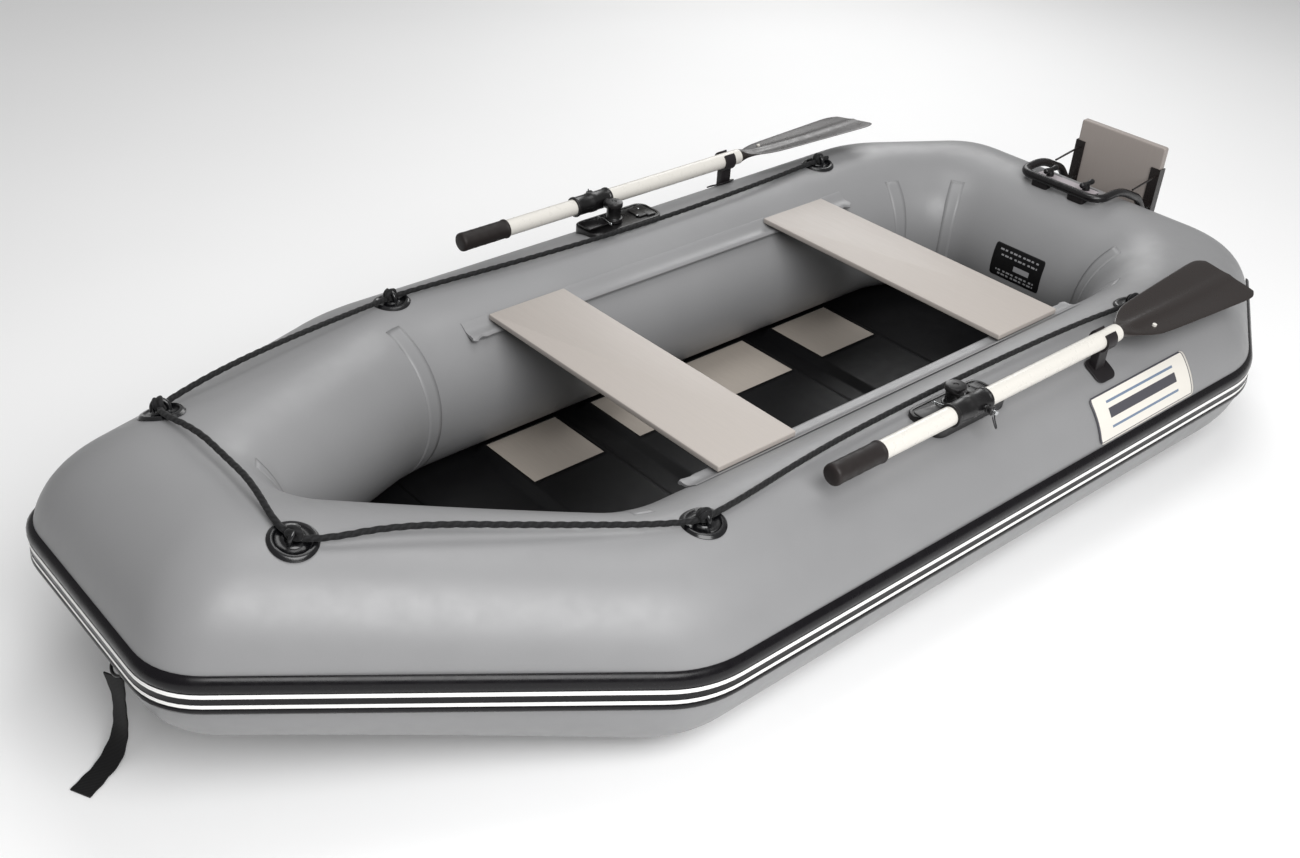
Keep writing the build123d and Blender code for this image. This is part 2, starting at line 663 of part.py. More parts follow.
# ---- oars ----
def oar():
    """A port oar, stowed along the tube: shaft, grip, collar and blade."""
    y = LOCK_Y + OAR_OFFSET

    def at(x):
        return Vector(x, y, OAR_AXIS_Z)

    across = Vector(0, 2 * COLLAR_R, 0)
    hole = rod(at(LOCK_X) - across, at(LOCK_X) + across, PIN_R + RUN_CLEARANCE)
    shaft_front = GRIP_END_X - SHAFT_FRONT_GAP
    shaft = rod(at(SHAFT_END_X), at(shaft_front), SHAFT_R)
    shaft -= rod(at(SHAFT_END_X - CUT_OVER), at(shaft_front + CUT_OVER), SHAFT_R - SHAFT_WALL)
    shaft -= hole
    grip = rod(at(GRIP_END_X - GRIP_LENGTH), at(GRIP_END_X), GRIP_R)
    grip = fillet(grip.edges().filter_by(GeomType.CIRCLE), GRIP_EDGE_R)
    grip -= rod(at(GRIP_END_X - GRIP_LENGTH - CUT_OVER), at(shaft_front), SHAFT_R + RUN_CLEARANCE)
    collar = rod(at(COLLAR_STERN_X), at(COLLAR_BOW_X), COLLAR_R)
    collar -= rod(at(COLLAR_STERN_X - CUT_OVER), at(COLLAR_BOW_X + CUT_OVER), SHAFT_R + RUN_CLEARANCE)
    collar -= hole
    plug = rod(at(SHAFT_END_X + SOCKET_DEPTH), at(SHAFT_END_X - SOCKET_TAIL), SHAFT_R - SHAFT_WALL - FIT_GAP)
    neck = rod(at(SHAFT_END_X - GLUE_LINE), at(SHAFT_END_X - BLADE_NECK), SHAFT_R)
    root = SHAFT_END_X - BLADE_ROOT
    shoulder = SHAFT_END_X - BLADE_SHOULDER
    corner = BLADE_END_X + BLADE_TIP_CORNER
    outline = [
        (SHAFT_END_X - SHAFT_FRONT_GAP, SHAFT_R - 1),
        (root, BLADE_HALF_ROOT - 12),
        (shoulder, BLADE_HALF_ROOT),
        (corner, BLADE_HALF_TIP),
        (BLADE_END_X, BLADE_HALF_TIP - 8),
    ]
    points = outline + [(px, -py) for px, py in reversed(outline)]
    blade = extrude(make_face(Polyline(*points, close=True)), BLADE_T / 2, both=True)
    blade = fillet(blade.edges().filter_by(Axis.Z).sort_by(Axis.X)[:4], BLADE_CORNER_R)
    ridge = Plane(origin=(root, 0, 0), z_dir=(-1, 0, 0)) * Circle(SHAFT_R - 4)
    tip = Plane(origin=(corner + 40, 0, 0), z_dir=(-1, 0, 0)) * Circle(BLADE_T / 2 + 0.5)
    blade += loft([ridge, tip])
    blade -= Pos(shoulder - 10, BLADE_HALF_ROOT / 2, 0) * Cylinder(BLADE_HOLE_R, 2 * SHAFT_R)
    blade = Pos(0, y, OAR_AXIS_Z) * Rot(-BLADE_TILT, 0, 0) * blade
    blade = blade + plug + neck
    return {"oar_shaft": [shaft], "oar_grip": [grip], "oar_collar": [collar], "oar_blade": [blade]}


def oar_clip():
    """A port rubber clip: a pad on the tube and a fork round the shaft."""
    y = LOCK_Y + OAR_OFFSET
    lean = asin((y - SIDE_AXIS_Y) / TUBE_R)
    elevation = 90 - degrees(lean)
    spread = degrees(CLIP_PAD_ARC / TUBE_R)
    inner = TUBE_R + GLUE_LINE
    down, up = [spread * share for share in CLIP_PAD_SHARES]
    axis = Vector(0, SIDE_AXIS_Y, TUBE_R)
    section = arc_sector(axis, elevation - down, elevation + up, inner, inner + CLIP_PAD_T)
    pad = Pos(CLIP_X - CLIP_PAD_LENGTH / 2, 0, 0) * extrude(section, CLIP_PAD_LENGTH, dir=(1, 0, 0))
    bore = SHAFT_R + CLIP_BORE_GAP
    plane = Plane(origin=(CLIP_X - CLIP_WIDTH / 2, y, OAR_AXIS_Z), z_dir=(1, 0, 0))
    fork = extrude(plane * Circle(bore + CLIP_WALL), CLIP_WIDTH)
    stem_z = TUBE_R + TUBE_R * cos(lean) - CLIP_STEM_DEPTH
    stem = Pos(CLIP_X, y, stem_z) * Box(
        CLIP_WIDTH, CLIP_STEM_WIDTH, OAR_AXIS_Z - stem_z, align=(Align.CENTER, Align.CENTER, Align.MIN)
    )
    stem -= ring_rod(1, inner + CLIP_PAD_T / 2)
    mouth = Pos(CLIP_X, y, OAR_AXIS_Z) * Box(
        CLIP_WIDTH + 2, CLIP_MOUTH, 2 * bore, align=(Align.CENTER, Align.CENTER, Align.MIN)
    )
    body = fork + stem + pad
    reach = Vector(CLIP_PAD_LENGTH, 0, 0)
    centre = Vector(CLIP_X, y, OAR_AXIS_Z)
    body -= rod(centre - reach, centre + reach, bore)
    body -= mouth
    return {"oar_clip": [body]}


# ---- eyelets and the grab line ----
def eyelet_places():
    """The port eyelets: panel, surface point and the direction of the line through each."""
    foot = start(0) + heading(0) * BOW_EYELET_BACK
    level = outward(0)
    bow = foot + level * BOW_EYELET_OUT + level.cross(heading(0)) * sqrt(TUBE_R**2 - BOW_EYELET_OUT**2)
    side_z = TUBE_R + sqrt(TUBE_R**2 - SIDE_EYELET_OUT**2)
    return [
        (0, bow, Vector(0.55, -0.83, 0.1)),
        (1, Vector(SIDE_EYELET_X, SIDE_AXIS_Y + SIDE_EYELET_OUT, side_z), Vector(1, -0.1, 0)),
        (1, Vector(QUARTER_EYELET_X, SIDE_AXIS_Y, CROWN_Z), Vector(1, 0, 0)),
    ]


def eyelet(panel, point, toward):
    """An eyelet: its patch and the loop that stands on it."""
    plane = tube_seat(panel, point.X, point.Y, point.Z, toward)
    disc = patch(panel, plane, EYELET_PATCH_R, EYELET_PATCH_T)
    skin = TUBE_R + GLUE_LINE + EYELET_PATCH_T
    across = Plane(origin=plane.origin, x_dir=plane.y_dir, z_dir=plane.x_dir)
    top = skin + EYELET_LEG
    left = (-EYELET_LOOP_R, skin - 4)
    right = (EYELET_LOOP_R, skin - 4)
    up_left = (-EYELET_LOOP_R, top)
    up_right = (EYELET_LOOP_R, top)
    sign = 1 if across.y_dir.dot(plane.z_dir) > 0 else -1
    frame = Plane(origin=across.origin, x_dir=across.x_dir, z_dir=across.z_dir * sign)
    path = [
        Line(left, up_left),
        ThreePointArc(up_left, (0, top + EYELET_LOOP_R), up_right),
        Line(up_right, right),
    ]
    wire = Wire([edge for piece in path for edge in (frame * piece).edges()])
    begin = frame.from_local_coords(Vector(left[0], left[1], 0))
    loop = sweep(Plane(origin=begin, z_dir=plane.z_dir) * Circle(EYELET_ROD_R), path=wire)
    loop -= ring_rod(panel, skin - EYELET_PATCH_T / 2)
    rope_point = plane.origin + plane.z_dir * (skin + ROPE_R + ROPE_LIFT)
    return disc + loop, rope_point, plane.x_dir


def grab_line():
    """The port eyelets and the points of the line through all of them."""
    places = [eyelet(*place) for place in eyelet_places()]
    eyelets = [p[0] for p in places]
    (bow, bow_way), (side, side_way), (quarter, quarter_way) = [p[1:] for p in places]
    side_z = TUBE_R + sqrt(TUBE_R**2 - (SIDE_AXIS_Y - ROPE_SIDE_Y) ** 2) + ROPE_R + 4
    port = [
        quarter - quarter_way * 34,
        quarter + quarter_way * 30,
        Vector(-560, ROPE_SIDE_Y + 6, side_z + 2),
        Vector(-300, ROPE_SIDE_Y - 2, side_z),
        Vector(-60, ROPE_SIDE_Y - 2, side_z),
        Vector(200, ROPE_SIDE_Y + 8, side_z + 3),
        side - side_way * 34,
        side + side_way * 34,
        Vector(760, 372, 424),
        Vector(960, 283, 463),
        bow - bow_way * 24,
        bow + bow_way * 24,
        Vector(1108, 90, 492),
    ]
    middle = [Vector(1104, 0, 486)]
    points = port + middle + [Vector(p.X, -p.Y, p.Z) for p in reversed(port)]
    return eyelets, points


def corner_radii(points, least):
    """The largest tangent arc at each corner: 0.45 of the shorter run over the half turn's tangent."""
    radii = []
    for before, here, after in zip(points, points[1:], points[2:]):
        turn = radians((here - before).get_angle(after - here))
        run = min((here - before).length, (after - here).length)
        radii.append(max(least, min(0.45 * run / tan_half(turn), FAR)))
    return radii


def tan_half(angle):
    """The tangent of half an angle."""
    return sin(angle) / (1 + cos(angle))


def tube_along(points, radius, label):
    """A round tube on straight runs and tangent arcs, with its radii and length printed."""
    radii = corner_radii(points, radius)
    path = FilletPolyline(*points, radius=radii)
    first = unit(points[1] - points[0])
    tube = sweep(Plane(origin=points[0], z_dir=first) * Circle(radius), path=path)
    ideal = pi * radius**2 * path.length
    print(label, "length", round(path.length, 1), "volume ratio", round(tube.volume / ideal, 4))
    print(label, "radii", [round(r) for r in radii])
    return tube


# ---- outboard bracket ----
def hoop_point(angle, side):
    """A point of the hoop over the stern tube, by its angle aft of straight up."""
    a = radians(angle)
    return Vector(STERN_AXIS_X - HOOP_REACH * sin(a), side * HOOP_HALF_WIDTH, TUBE_R + HOOP_REACH * cos(a))


def bracket():
    """The board, the hoop over the stern tube, uprights, braces, bolts, blocks, tie plate and clamps."""
    flange_front = BOARD_FRONT_X + GLUE_LINE + UPRIGHT_T
    foot_x = flange_front + GLUE_LINE + HOOP_R
    port = [Vector(foot_x, HOOP_HALF_WIDTH, HOOP_FOOT_Z)] + [hoop_point(a, 1) for a in HOOP_ANGLES]
    points = port + [Vector(p.X, -p.Y, p.Z) for p in reversed(port)]
    path = FilletPolyline(*points, radius=list(HOOP_RADII) + list(reversed(HOOP_RADII)))
    hoop = sweep(Plane(origin=points[0], z_dir=unit(points[1] - points[0])) * Circle(HOOP_R), path=path)
    board = Box(BOARD_T, BOARD_WIDTH, BOARD_HEIGHT, align=(Align.MAX, Align.CENTER, Align.MAX))
    board = Pos(BOARD_FRONT_X, 0, BOARD_TOP_Z) * fillet(board.edges().filter_by(Axis.X), 6)
    edge = BOARD_WIDTH / 2 + GLUE_LINE
    bottom = HOOP_FOOT_Z - 60
    cheek_back = BOARD_FRONT_X - BOARD_T - UPRIGHT_LIP
    cheek = Pos(cheek_back, edge, bottom) * Box(
        flange_front - cheek_back, UPRIGHT_T, UPRIGHT_TOP_Z - bottom, align=(Align.MIN, Align.MIN, Align.MIN)
    )
    flange = Pos(BOARD_FRONT_X + GLUE_LINE, edge + UPRIGHT_T, bottom) * Box(
        UPRIGHT_T, UPRIGHT_FLANGE, UPRIGHT_TOP_Z - bottom, align=(Align.MIN, Align.MAX, Align.MIN)
    )
    upright = cheek + flange
    bolt_z = HOOP_FOOT_Z + HOOP_R + BOLT_R
    bolt_y = HOOP_HALF_WIDTH
    head_x = foot_x + HOOP_R * 2
    bolt = rod(Vector(head_x, bolt_y, bolt_z), Vector(BOARD_FRONT_X - BOARD_T + 1, bolt_y, bolt_z), BOLT_R)
    bolt += rod(Vector(head_x + BOLT_HEAD_T, bolt_y, bolt_z), Vector(head_x, bolt_y, bolt_z), BOLT_HEAD_R)
    over_head = Vector(head_x + BOLT_HEAD_T + 20, bolt_y, bolt_z)
    hole_end = Vector(BOARD_FRONT_X - BOARD_T + 0.5, bolt_y, bolt_z)
    hole = rod(over_head, hole_end, BOLT_R + 2 * RUN_CLEARANCE)
    head_hole = rod(over_head, Vector(head_x, bolt_y, bolt_z), BOLT_HEAD_R + FIT_GAP)
    upright -= hole
    for cutter in (hole, starboard(hole)):
        board -= cutter
        hoop -= cutter
    for cutter in (head_hole, starboard(head_hole)):
        hoop -= cutter
    aft, crest = [hoop_point(a, 1) for a in HOOP_ANGLES[:2]]
    climb = unit(crest - aft)
    over_hoop = Vector(-climb.Z, 0, climb.X) * (HOOP_R + BRACE_R + GLUE_LINE)
    brace_low = aft + (crest - aft) * BRACE_ALONG + over_hoop
    brace_high = Vector(flange_front + GLUE_LINE, HOOP_HALF_WIDTH, UPRIGHT_TOP_Z - BRACE_DROP)
    brace = rod(brace_low, brace_high, BRACE_R)
    block_mid = (BLOCK_FRONT_X + BLOCK_REAR_X) / 2
    block_length = BLOCK_FRONT_X - BLOCK_REAR_X
    block = Pos(block_mid, BLOCK_Y, TUBE_R) * Box(
        block_length, BLOCK_WIDTH, BLOCK_TOP_Z - TUBE_R, align=(Align.CENTER, Align.CENTER, Align.MIN)
    )
    bar = hoop_point(HOOP_ANGLES[-1], 1)
    groove_a = Vector(bar.X, -TUBE_R, bar.Z)
    groove_b = Vector(bar.X, TUBE_R, bar.Z)
    block = block - ring_rod(3, TUBE_R + GLUE_LINE) - rod(groove_a, groove_b, HOOP_R + GLUE_LINE)
    screw_low = Vector(CLAMP_X, BLOCK_Y, BLOCK_TOP_Z - CLAMP_DEPTH)
    screw_hole = rod(screw_low - UP * GLUE_LINE, screw_low + UP * 40, CLAMP_SCREW_R + RUN_CLEARANCE)
    block -= screw_hole
    length, width, thick = TIE_PLATE
    plate = Pos(CLAMP_X, 0, BLOCK_TOP_Z + thick / 2) * Box(length, width, thick)
    plate = plate - screw_hole - starboard(screw_hole)
    hub_low = Vector(CLAMP_X, BLOCK_Y, BLOCK_TOP_Z + thick + GLUE_LINE)
    bar_mid = Vector(CLAMP_X, BLOCK_Y, CLAMP_BAR_Z)
    reach = Vector(CLAMP_BAR_HALF, 0, 0)
    clamp = rod(screw_low, bar_mid, CLAMP_SCREW_R) + rod(hub_low, bar_mid, CLAMP_HUB_R)
    clamp += rod(bar_mid - reach, bar_mid + reach, CLAMP_BAR_R)
    return {
        "motor_board": [board],
        "bracket_hoop": [hoop],
        "bracket_uprights": [upright, starboard(upright)],
        "bracket_braces": [brace, starboard(brace)],
        "bracket_bolts": [bolt, starboard(bolt)],
        "bracket_blocks": [block, starboard(block)],
        "bracket_tie_plate": [plate],
        "clamp_screw_port": [clamp],
        "clamp_screw_starboard": [starboard(clamp)],
    }


# ---- valves ----
def valves():
    """The valve bodies in both side tubes, and their caps."""
    plane = valve_plane()
    skin = TUBE_R + GLUE_LINE

    def along(inner, outer, radius):
        return rod(plane.origin + plane.z_dir * inner, plane.origin + plane.z_dir * outer, radius)

    top = TUBE_R + VALVE_FLANGE_T + VALVE_LIP
    flange = along(TUBE_R - 10, top, VALVE_FLANGE_R) - ring_rod(1, skin)
    body = flange + along(TUBE_R - VALVE_DEPTH, top, VALVE_STEM_R)
    body -= along(TUBE_R - VALVE_DEPTH - CUT_OVER, top + CUT_OVER, VALVE_BORE_R)
    cap = along(top + GLUE_LINE, top + GLUE_LINE + CAP_T, CAP_R)
    cap += along(top - CAP_PLUG, top + CUT_OVER, VALVE_BORE_R - RUN_CLEARANCE)
    ridge = Plane(origin=plane.origin + plane.z_dir * (top + CAP_T), x_dir=plane.x_dir, z_dir=plane.z_dir)
    cap += ridge * Box(2 * CAP_R - CAP_T, CAP_RIDGE_T, CAP_T, align=(Align.CENTER, Align.CENTER, Align.MIN))
    return {
        "valve_bodies": [body, starboard(body)],
        "valve_cap_port": [cap],
        "valve_cap_starboard": [starboard(cap)],
    }


# ---- labels and tow strap ----
def labels():
    """The blank side labels and the blank plate on the stern tube."""
    inner = TUBE_R + GLUE_LINE
    section = arc_sector(Vector(0, SIDE_AXIS_Y, TUBE_R), *LABEL_ANGLES, inner, inner + LABEL_T)
    label = Pos(LABEL_X[0], 0, 0) * extrude(section, LABEL_X[1] - LABEL_X[0], dir=(1, 0, 0))
    plate = arc_sector(Vector(0, 0, TUBE_R), *PLATE_ANGLES, inner, inner + LABEL_T)
    plate = Pos(-PLATE_HALF, 0, 0) * extrude(plate, 2 * PLATE_HALF, dir=(1, 0, 0))
    plate = Pos(STERN_AXIS_X, PLATE_Y, 0) * Rot(0, 0, -90) * plate
    return {"side_labels": [label, starboard(label)], "data_plate": [plate]}


def tow():
    """The ring on its patch under the bow strake, and the strap that hangs from it to the ground."""
    a = radians(TOW_ANGLE)
    normal = Vector(cos(a), 0, sin(a))
    centre = Vector(BOW_AXIS_X, 0, TUBE_R + BOW_RISE)
    seat = Plane(origin=centre, x_dir=(0, 1, 0), z_dir=normal)
    disc = patch(7, seat, TOW_PATCH_R, EYELET_PATCH_T)
    skin = TUBE_R + GLUE_LINE + EYELET_PATCH_T
    frame = Plane(origin=centre, x_dir=(0, 1, 0), z_dir=Vector(0, 1, 0).cross(normal))
    ends = ((-TOW_LOOP_R, skin - 4), (TOW_LOOP_R, skin - 4))
    arc = ThreePointArc(ends[0], (0, skin + TOW_LOOP_R * 0.8), ends[1])
    wire = frame * arc
    begin = wire @ 0
    ring = sweep(Plane(origin=begin, z_dir=wire % 0) * Circle(TOW_ROD_R), path=wire)
    ring -= ring_rod(7, skin + RUN_CLEARANCE)
    top = centre + normal * (skin + TOW_LOOP_R * 0.8)
    heading_angle = radians(STRAP_HEADING)
    ahead = Vector(cos(heading_angle), sin(heading_angle), 0)
    foot = Vector(top.X, top.Y, 0)
    drop = top.Z - TOW_ROD_R - GLUE_LINE - STRAP_T * 0.2
    points = [foot + ahead * s + UP * z for s, z in [(0, drop)] + STRAP_ROUTE]
    radii = corner_radii(points, STRAP_WIDTH)
    path = FilletPolyline(*points, radius=radii)
    side = Vector(-ahead.Y, ahead.X, 0)
    first = unit(points[1] - points[0])
    section = Plane(origin=points[0], x_dir=side, z_dir=first) * Rectangle(STRAP_WIDTH, STRAP_T)
    strap = sweep(section, path=path)
    ratio = strap.volume / (STRAP_WIDTH * STRAP_T * path.length)
    print("tow strap length", round(path.length, 1), "volume ratio", round(ratio, 4))
    print("tow strap radii", [round(r) for r in radii])
    return {"tow_ring": [disc, ring], "tow_strap": [strap]}


def main():
    """Builds every piece and writes one file for each."""
    made = {}
    for group in (hull(), strake(), floor(), seats()):
        made.update(group)
    base, pins = oarlock_base()
    for name, solids in {**base, **oarlock_turret(), **oar(), **oar_clip()}.items():
        made[name + "_port"] = solids
        made[name + "_starboard"] = [starboard(s) for s in solids]
    made["oarlock_pins"] = pins + [starboard(s) for s in pins]
    eyelets, points = grab_line()
    made["rope_eyelets"] = eyelets + [starboard(s) for s in eyelets]
    made["grab_line"] = [tube_along(points, ROPE_R, "grab line")]
    for group in (bracket(), valves(), labels(), tow()):
        made.update(group)
    os.makedirs("parts", exist_ok=True)
    for name, solids in made.items():
        flat = [s for piece in solids for s in piece.solids()]
        shape = flat[0] if len(flat) == 1 else Compound(children=flat)
        export_step(shape, f"parts/{name}.step")
    print(len(made), "nodes")


main()
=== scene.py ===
"""The looks of an inflatable dinghy, in metres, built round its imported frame.

Every sub-assembly is a class that keeps its sizes and builds and dresses its own pieces.
Axes: +X to the bow, +Y to port, +Z up.
"""

import json
import logging
import math
from dataclasses import dataclass, field
from enum import Enum
from typing import Any, Callable, Mapping, Sequence

import bmesh
import bpy
from mathutils import Matrix, Vector, noise


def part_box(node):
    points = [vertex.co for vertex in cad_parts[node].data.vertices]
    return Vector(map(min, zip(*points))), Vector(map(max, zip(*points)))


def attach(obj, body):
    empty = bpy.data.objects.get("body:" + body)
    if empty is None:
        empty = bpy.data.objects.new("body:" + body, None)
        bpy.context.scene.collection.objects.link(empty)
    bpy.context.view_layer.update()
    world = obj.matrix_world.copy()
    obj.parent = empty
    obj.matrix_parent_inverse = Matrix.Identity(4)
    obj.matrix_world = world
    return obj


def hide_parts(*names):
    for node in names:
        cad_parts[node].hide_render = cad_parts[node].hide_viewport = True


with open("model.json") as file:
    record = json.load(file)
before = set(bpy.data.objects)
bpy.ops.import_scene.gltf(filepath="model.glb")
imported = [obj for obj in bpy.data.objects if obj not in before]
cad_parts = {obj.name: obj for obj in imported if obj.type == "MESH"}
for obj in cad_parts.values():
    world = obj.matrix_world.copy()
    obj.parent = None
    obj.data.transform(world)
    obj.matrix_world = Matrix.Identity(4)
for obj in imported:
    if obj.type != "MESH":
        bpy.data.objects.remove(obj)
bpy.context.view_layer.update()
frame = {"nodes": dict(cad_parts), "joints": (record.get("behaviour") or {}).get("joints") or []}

MM = 0.001
LOG = logging.getLogger("dinghy")

Place = Callable[[int, int], Vector]
Measure = Callable[[int, int], tuple[float, float]]
Profile = tuple[tuple[float, float], ...]
Triple = tuple[float, float, float]

X_AXIS, Y_AXIS, Z_AXIS = Vector((1, 0, 0)), Vector((0, 1, 0)), Vector((0, 0, 1))


class Side(Enum):
    """The two sides of the boat, by the sign of Y."""

    PORT = 1
    STARBOARD = -1

    @property
    def tag(self) -> str:
        """The side's name as it ends a node's name."""
        return self.name.lower()


# ---------------------------------------------------------------- materials


def srgb(code: str) -> tuple[float, float, float, float]:
    """Turns an sRGB hex colour into linear RGBA.

    Args:
        code: Six hex digits, such as "8C8E8D".

    Returns:
        Linear red, green, blue and an alpha of one.
    """
    parts = [int(code[k : k + 2], 16) / 255 for k in (0, 2, 4)]
    linear = [c / 12.92 if c <= 0.04045 else ((c + 0.055) / 1.055) ** 2.4 for c in parts]
    return (*linear, 1.0)


def add(tree: Any, kind: str, sockets: Mapping[Any, Any], **settings: Any) -> Any:
    """Adds one shader node with its settings, values and links.

    Args:
        tree: The node tree.
        kind: The node's type name.
        sockets: Input name or number to a value, or to another node's output.
        settings: Attributes of the node.

    Returns:
        The new node.
    """
    made = tree.nodes.new(kind)
    for name, value in settings.items():
        setattr(made, name, value)
    for key, value in sockets.items():
        if isinstance(value, bpy.types.NodeSocket):
            tree.links.new(value, made.inputs[key])
        else:
            made.inputs[key].default_value = value
    return made


def blank(name: str) -> tuple[Any, Any, Any]:
    """Makes a material with only its shader.

    Args:
        name: The material's name.

    Returns:
        The material, its node tree and its Principled shader.
    """
    material = bpy.data.materials.new(name)
    material.use_nodes = True
    tree = material.node_tree
    shader = next(n for n in tree.nodes if n.type == "BSDF_PRINCIPLED")
    return material, tree, shader


def per_metre(size_mm: float) -> float:
    """The texture scale that repeats a pattern at this size in millimetres."""
    return 1.0 / (size_mm * MM)


def mixed(tree: Any, share: Any, first: Any, second: Any) -> Any:
    """A blend of two colours by a factor.

    Args:
        tree: The node tree.
        share: The factor's output or value.
        first: The colour at zero.
        second: The colour at one.

    Returns:
        The colour output.
    """
    return add(tree, "ShaderNodeMix", {0: share, 6: first, 7: second}, data_type="RGBA").outputs[2]


def ranged(tree: Any, value: Any, source: tuple[float, float], target: tuple[float, float]) -> Any:
    """A value moved from one range to another, clamped.

    Args:
        tree: The node tree.
        value: The output to move.
        source: Its range.
        target: The range wanted.

    Returns:
        The moved output.
    """
    sockets = {0: value, 1: source[0], 2: source[1], 3: target[0], 4: target[1]}
    return add(tree, "ShaderNodeMapRange", sockets).outputs[0]


def noise_at(tree: Any, place: Any, size_mm: float, detail: float) -> Any:
    """A noise of a size in millimetres, read at a place."""
    sockets = {"Vector": place, "Scale": per_metre(size_mm), "Detail": detail}
    return add(tree, "ShaderNodeTexNoise", sockets).outputs[0]


def raised(tree: Any, height: Any, strength: float, depth_mm: float, under: Any = None) -> Any:
    """A bump from a height.

    Args:
        tree: The node tree.
        height: The height's output.
        strength: How much of it shows.
        depth_mm: How deep it is, in millimetres.
        under: The normal that it lies on, if not the surface's own.

    Returns:
        The normal output.
    """
    sockets = {"Height": height, "Strength": strength, "Distance": depth_mm * MM}
    if under is not None:
        sockets["Normal"] = under
    return add(tree, "ShaderNodeBump", sockets).outputs[0]


@dataclass(frozen=True)
class CoatedFabric:
    """PVC-coated polyester, calendered: a smooth satin skin with the cloth just printing through."""

    name: str
    colour: str
    shade: str
    roughness: float
    cloud_mm: float = 420.0
    thread_mm: float = 2.4
    print_mm: float = 0.02
    mottle_mm: float = 30.0
    wave_mm: float = 0.4
    specular: float = 0.5

    def make(self) -> Any:
        """Builds the material: broad tone clouds, uneven gloss, cloth print and slight waviness."""
        material, tree, shader = blank(self.name)
        place = add(tree, "ShaderNodeTexCoord", {}).outputs["Object"]
        cloud = noise_at(tree, place, self.cloud_mm, 3.0)
        share = ranged(tree, cloud, (0.35, 0.65), (0.0, 1.0))
        tree.links.new(mixed(tree, share, srgb(self.colour), srgb(self.shade)), shader.inputs["Base Color"])
        mottle = noise_at(tree, place, self.mottle_mm, 4.0)
        shader.inputs["Specular IOR Level"].default_value = self.specular
        gloss = ranged(tree, mottle, (0.3, 0.7), (self.roughness - 0.04, self.roughness + 0.05))
        tree.links.new(gloss, shader.inputs["Roughness"])
        cut = add(tree, "ShaderNodeUVMap", {}, uv_map="cut").outputs[0]
        sockets = {"Vector": cut, "Scale": per_metre(self.thread_mm) / math.tau}
        warp = add(tree, "ShaderNodeTexWave", sockets, bands_direction="X").outputs["Fac"]
        weft = add(tree, "ShaderNodeTexWave", sockets, bands_direction="Y").outputs["Fac"]
        cloth = add(tree, "ShaderNodeMath", {0: warp, 1: weft}, operation="ADD").outputs[0]
        printed = raised(tree, cloth, 0.25, self.print_mm)
        tree.links.new(raised(tree, mottle, 0.35, self.wave_mm, printed), shader.inputs["Normal"])
        return material


@dataclass(frozen=True)
class MouldedPolymer:
    """Moulded nylon, rubber or PVC: a fine tooled grain, paler where edges are handled."""

    name: str
    colour: str
    worn: str
    roughness: float
    grain_mm: float = 0.9
    grain_depth_mm: float = 0.05
    patch_mm: float = 24.0
    wear: float = 0.5
    coat: float = 0.0
    coat_roughness: float = 0.25
    specular: float = 0.32

    def make(self) -> Any:
        """Builds the material: grain, uneven gloss and rubbed edges."""
        material, tree, shader = blank(self.name)
        place = add(tree, "ShaderNodeTexCoord", {}).outputs["Object"]
        grain = noise_at(tree, place, self.grain_mm, 2.0)
        patch = noise_at(tree, place, self.patch_mm, 5.0)
        edge = add(tree, "ShaderNodeNewGeometry", {}).outputs["Pointiness"]
        rubbed = ranged(tree, edge, (0.51, 0.58), (0.0, self.wear))
        broken = add(tree, "ShaderNodeMath", {0: rubbed, 1: patch}, operation="MULTIPLY").outputs[0]
        tree.links.new(mixed(tree, broken, srgb(self.colour), srgb(self.worn)), shader.inputs["Base Color"])
        low, high = self.roughness - 0.06, self.roughness + 0.08
        tree.links.new(ranged(tree, patch, (0.3, 0.7), (low, high)), shader.inputs["Roughness"])
        shader.inputs["Specular IOR Level"].default_value = self.specular
        shader.inputs["Coat Weight"].default_value = self.coat
        shader.inputs["Coat Roughness"].default_value = self.coat_roughness
        tree.links.new(raised(tree, grain, 0.4, self.grain_depth_mm), shader.inputs["Normal"])
        return material


class Grain(Enum):
    """Which way a board's grain runs."""

    ACROSS = (60.0, 2.5, 60.0)
    UPRIGHT = (60.0, 60.0, 2.5)


@dataclass(frozen=True)
class PaintedPlywood:
    """Plywood under taupe paint: a faint grain shows through it."""

    name: str
    colour: str
    shade: str
    grain: Grain
    roughness: float = 0.42
    grain_share: float = 0.3
    grain_depth_mm: float = 0.15
    peel_mm: float = 2.2
    peel_depth_mm: float = 0.05

    def make(self) -> Any:
        """Builds the material: stretched grain in tone and relief, with a roller's orange peel."""
        material, tree, shader = blank(self.name)
        place = add(tree, "ShaderNodeTexCoord", {}).outputs["Object"]
        stretched = add(tree, "ShaderNodeMapping", {"Vector": place, "Scale": self.grain.value}).outputs[0]
        sockets = {"Vector": stretched, "Scale": 6.0, "Detail": 6.0, "Roughness": 0.6}
        fibre = add(tree, "ShaderNodeTexNoise", sockets).outputs[0]
        share = ranged(tree, fibre, (0.3, 0.75), (0.0, self.grain_share))
        tree.links.new(mixed(tree, share, srgb(self.colour), srgb(self.shade)), shader.inputs["Base Color"])
        peel = noise_at(tree, place, self.peel_mm, 1.0)
        low, high = self.roughness - 0.05, self.roughness + 0.07
        tree.links.new(ranged(tree, fibre, (0.3, 0.7), (low, high)), shader.inputs["Roughness"])
        grained = raised(tree, fibre, 0.25, self.grain_depth_mm)
        tree.links.new(raised(tree, peel, 0.2, self.peel_depth_mm, grained), shader.inputs["Normal"])
        return material


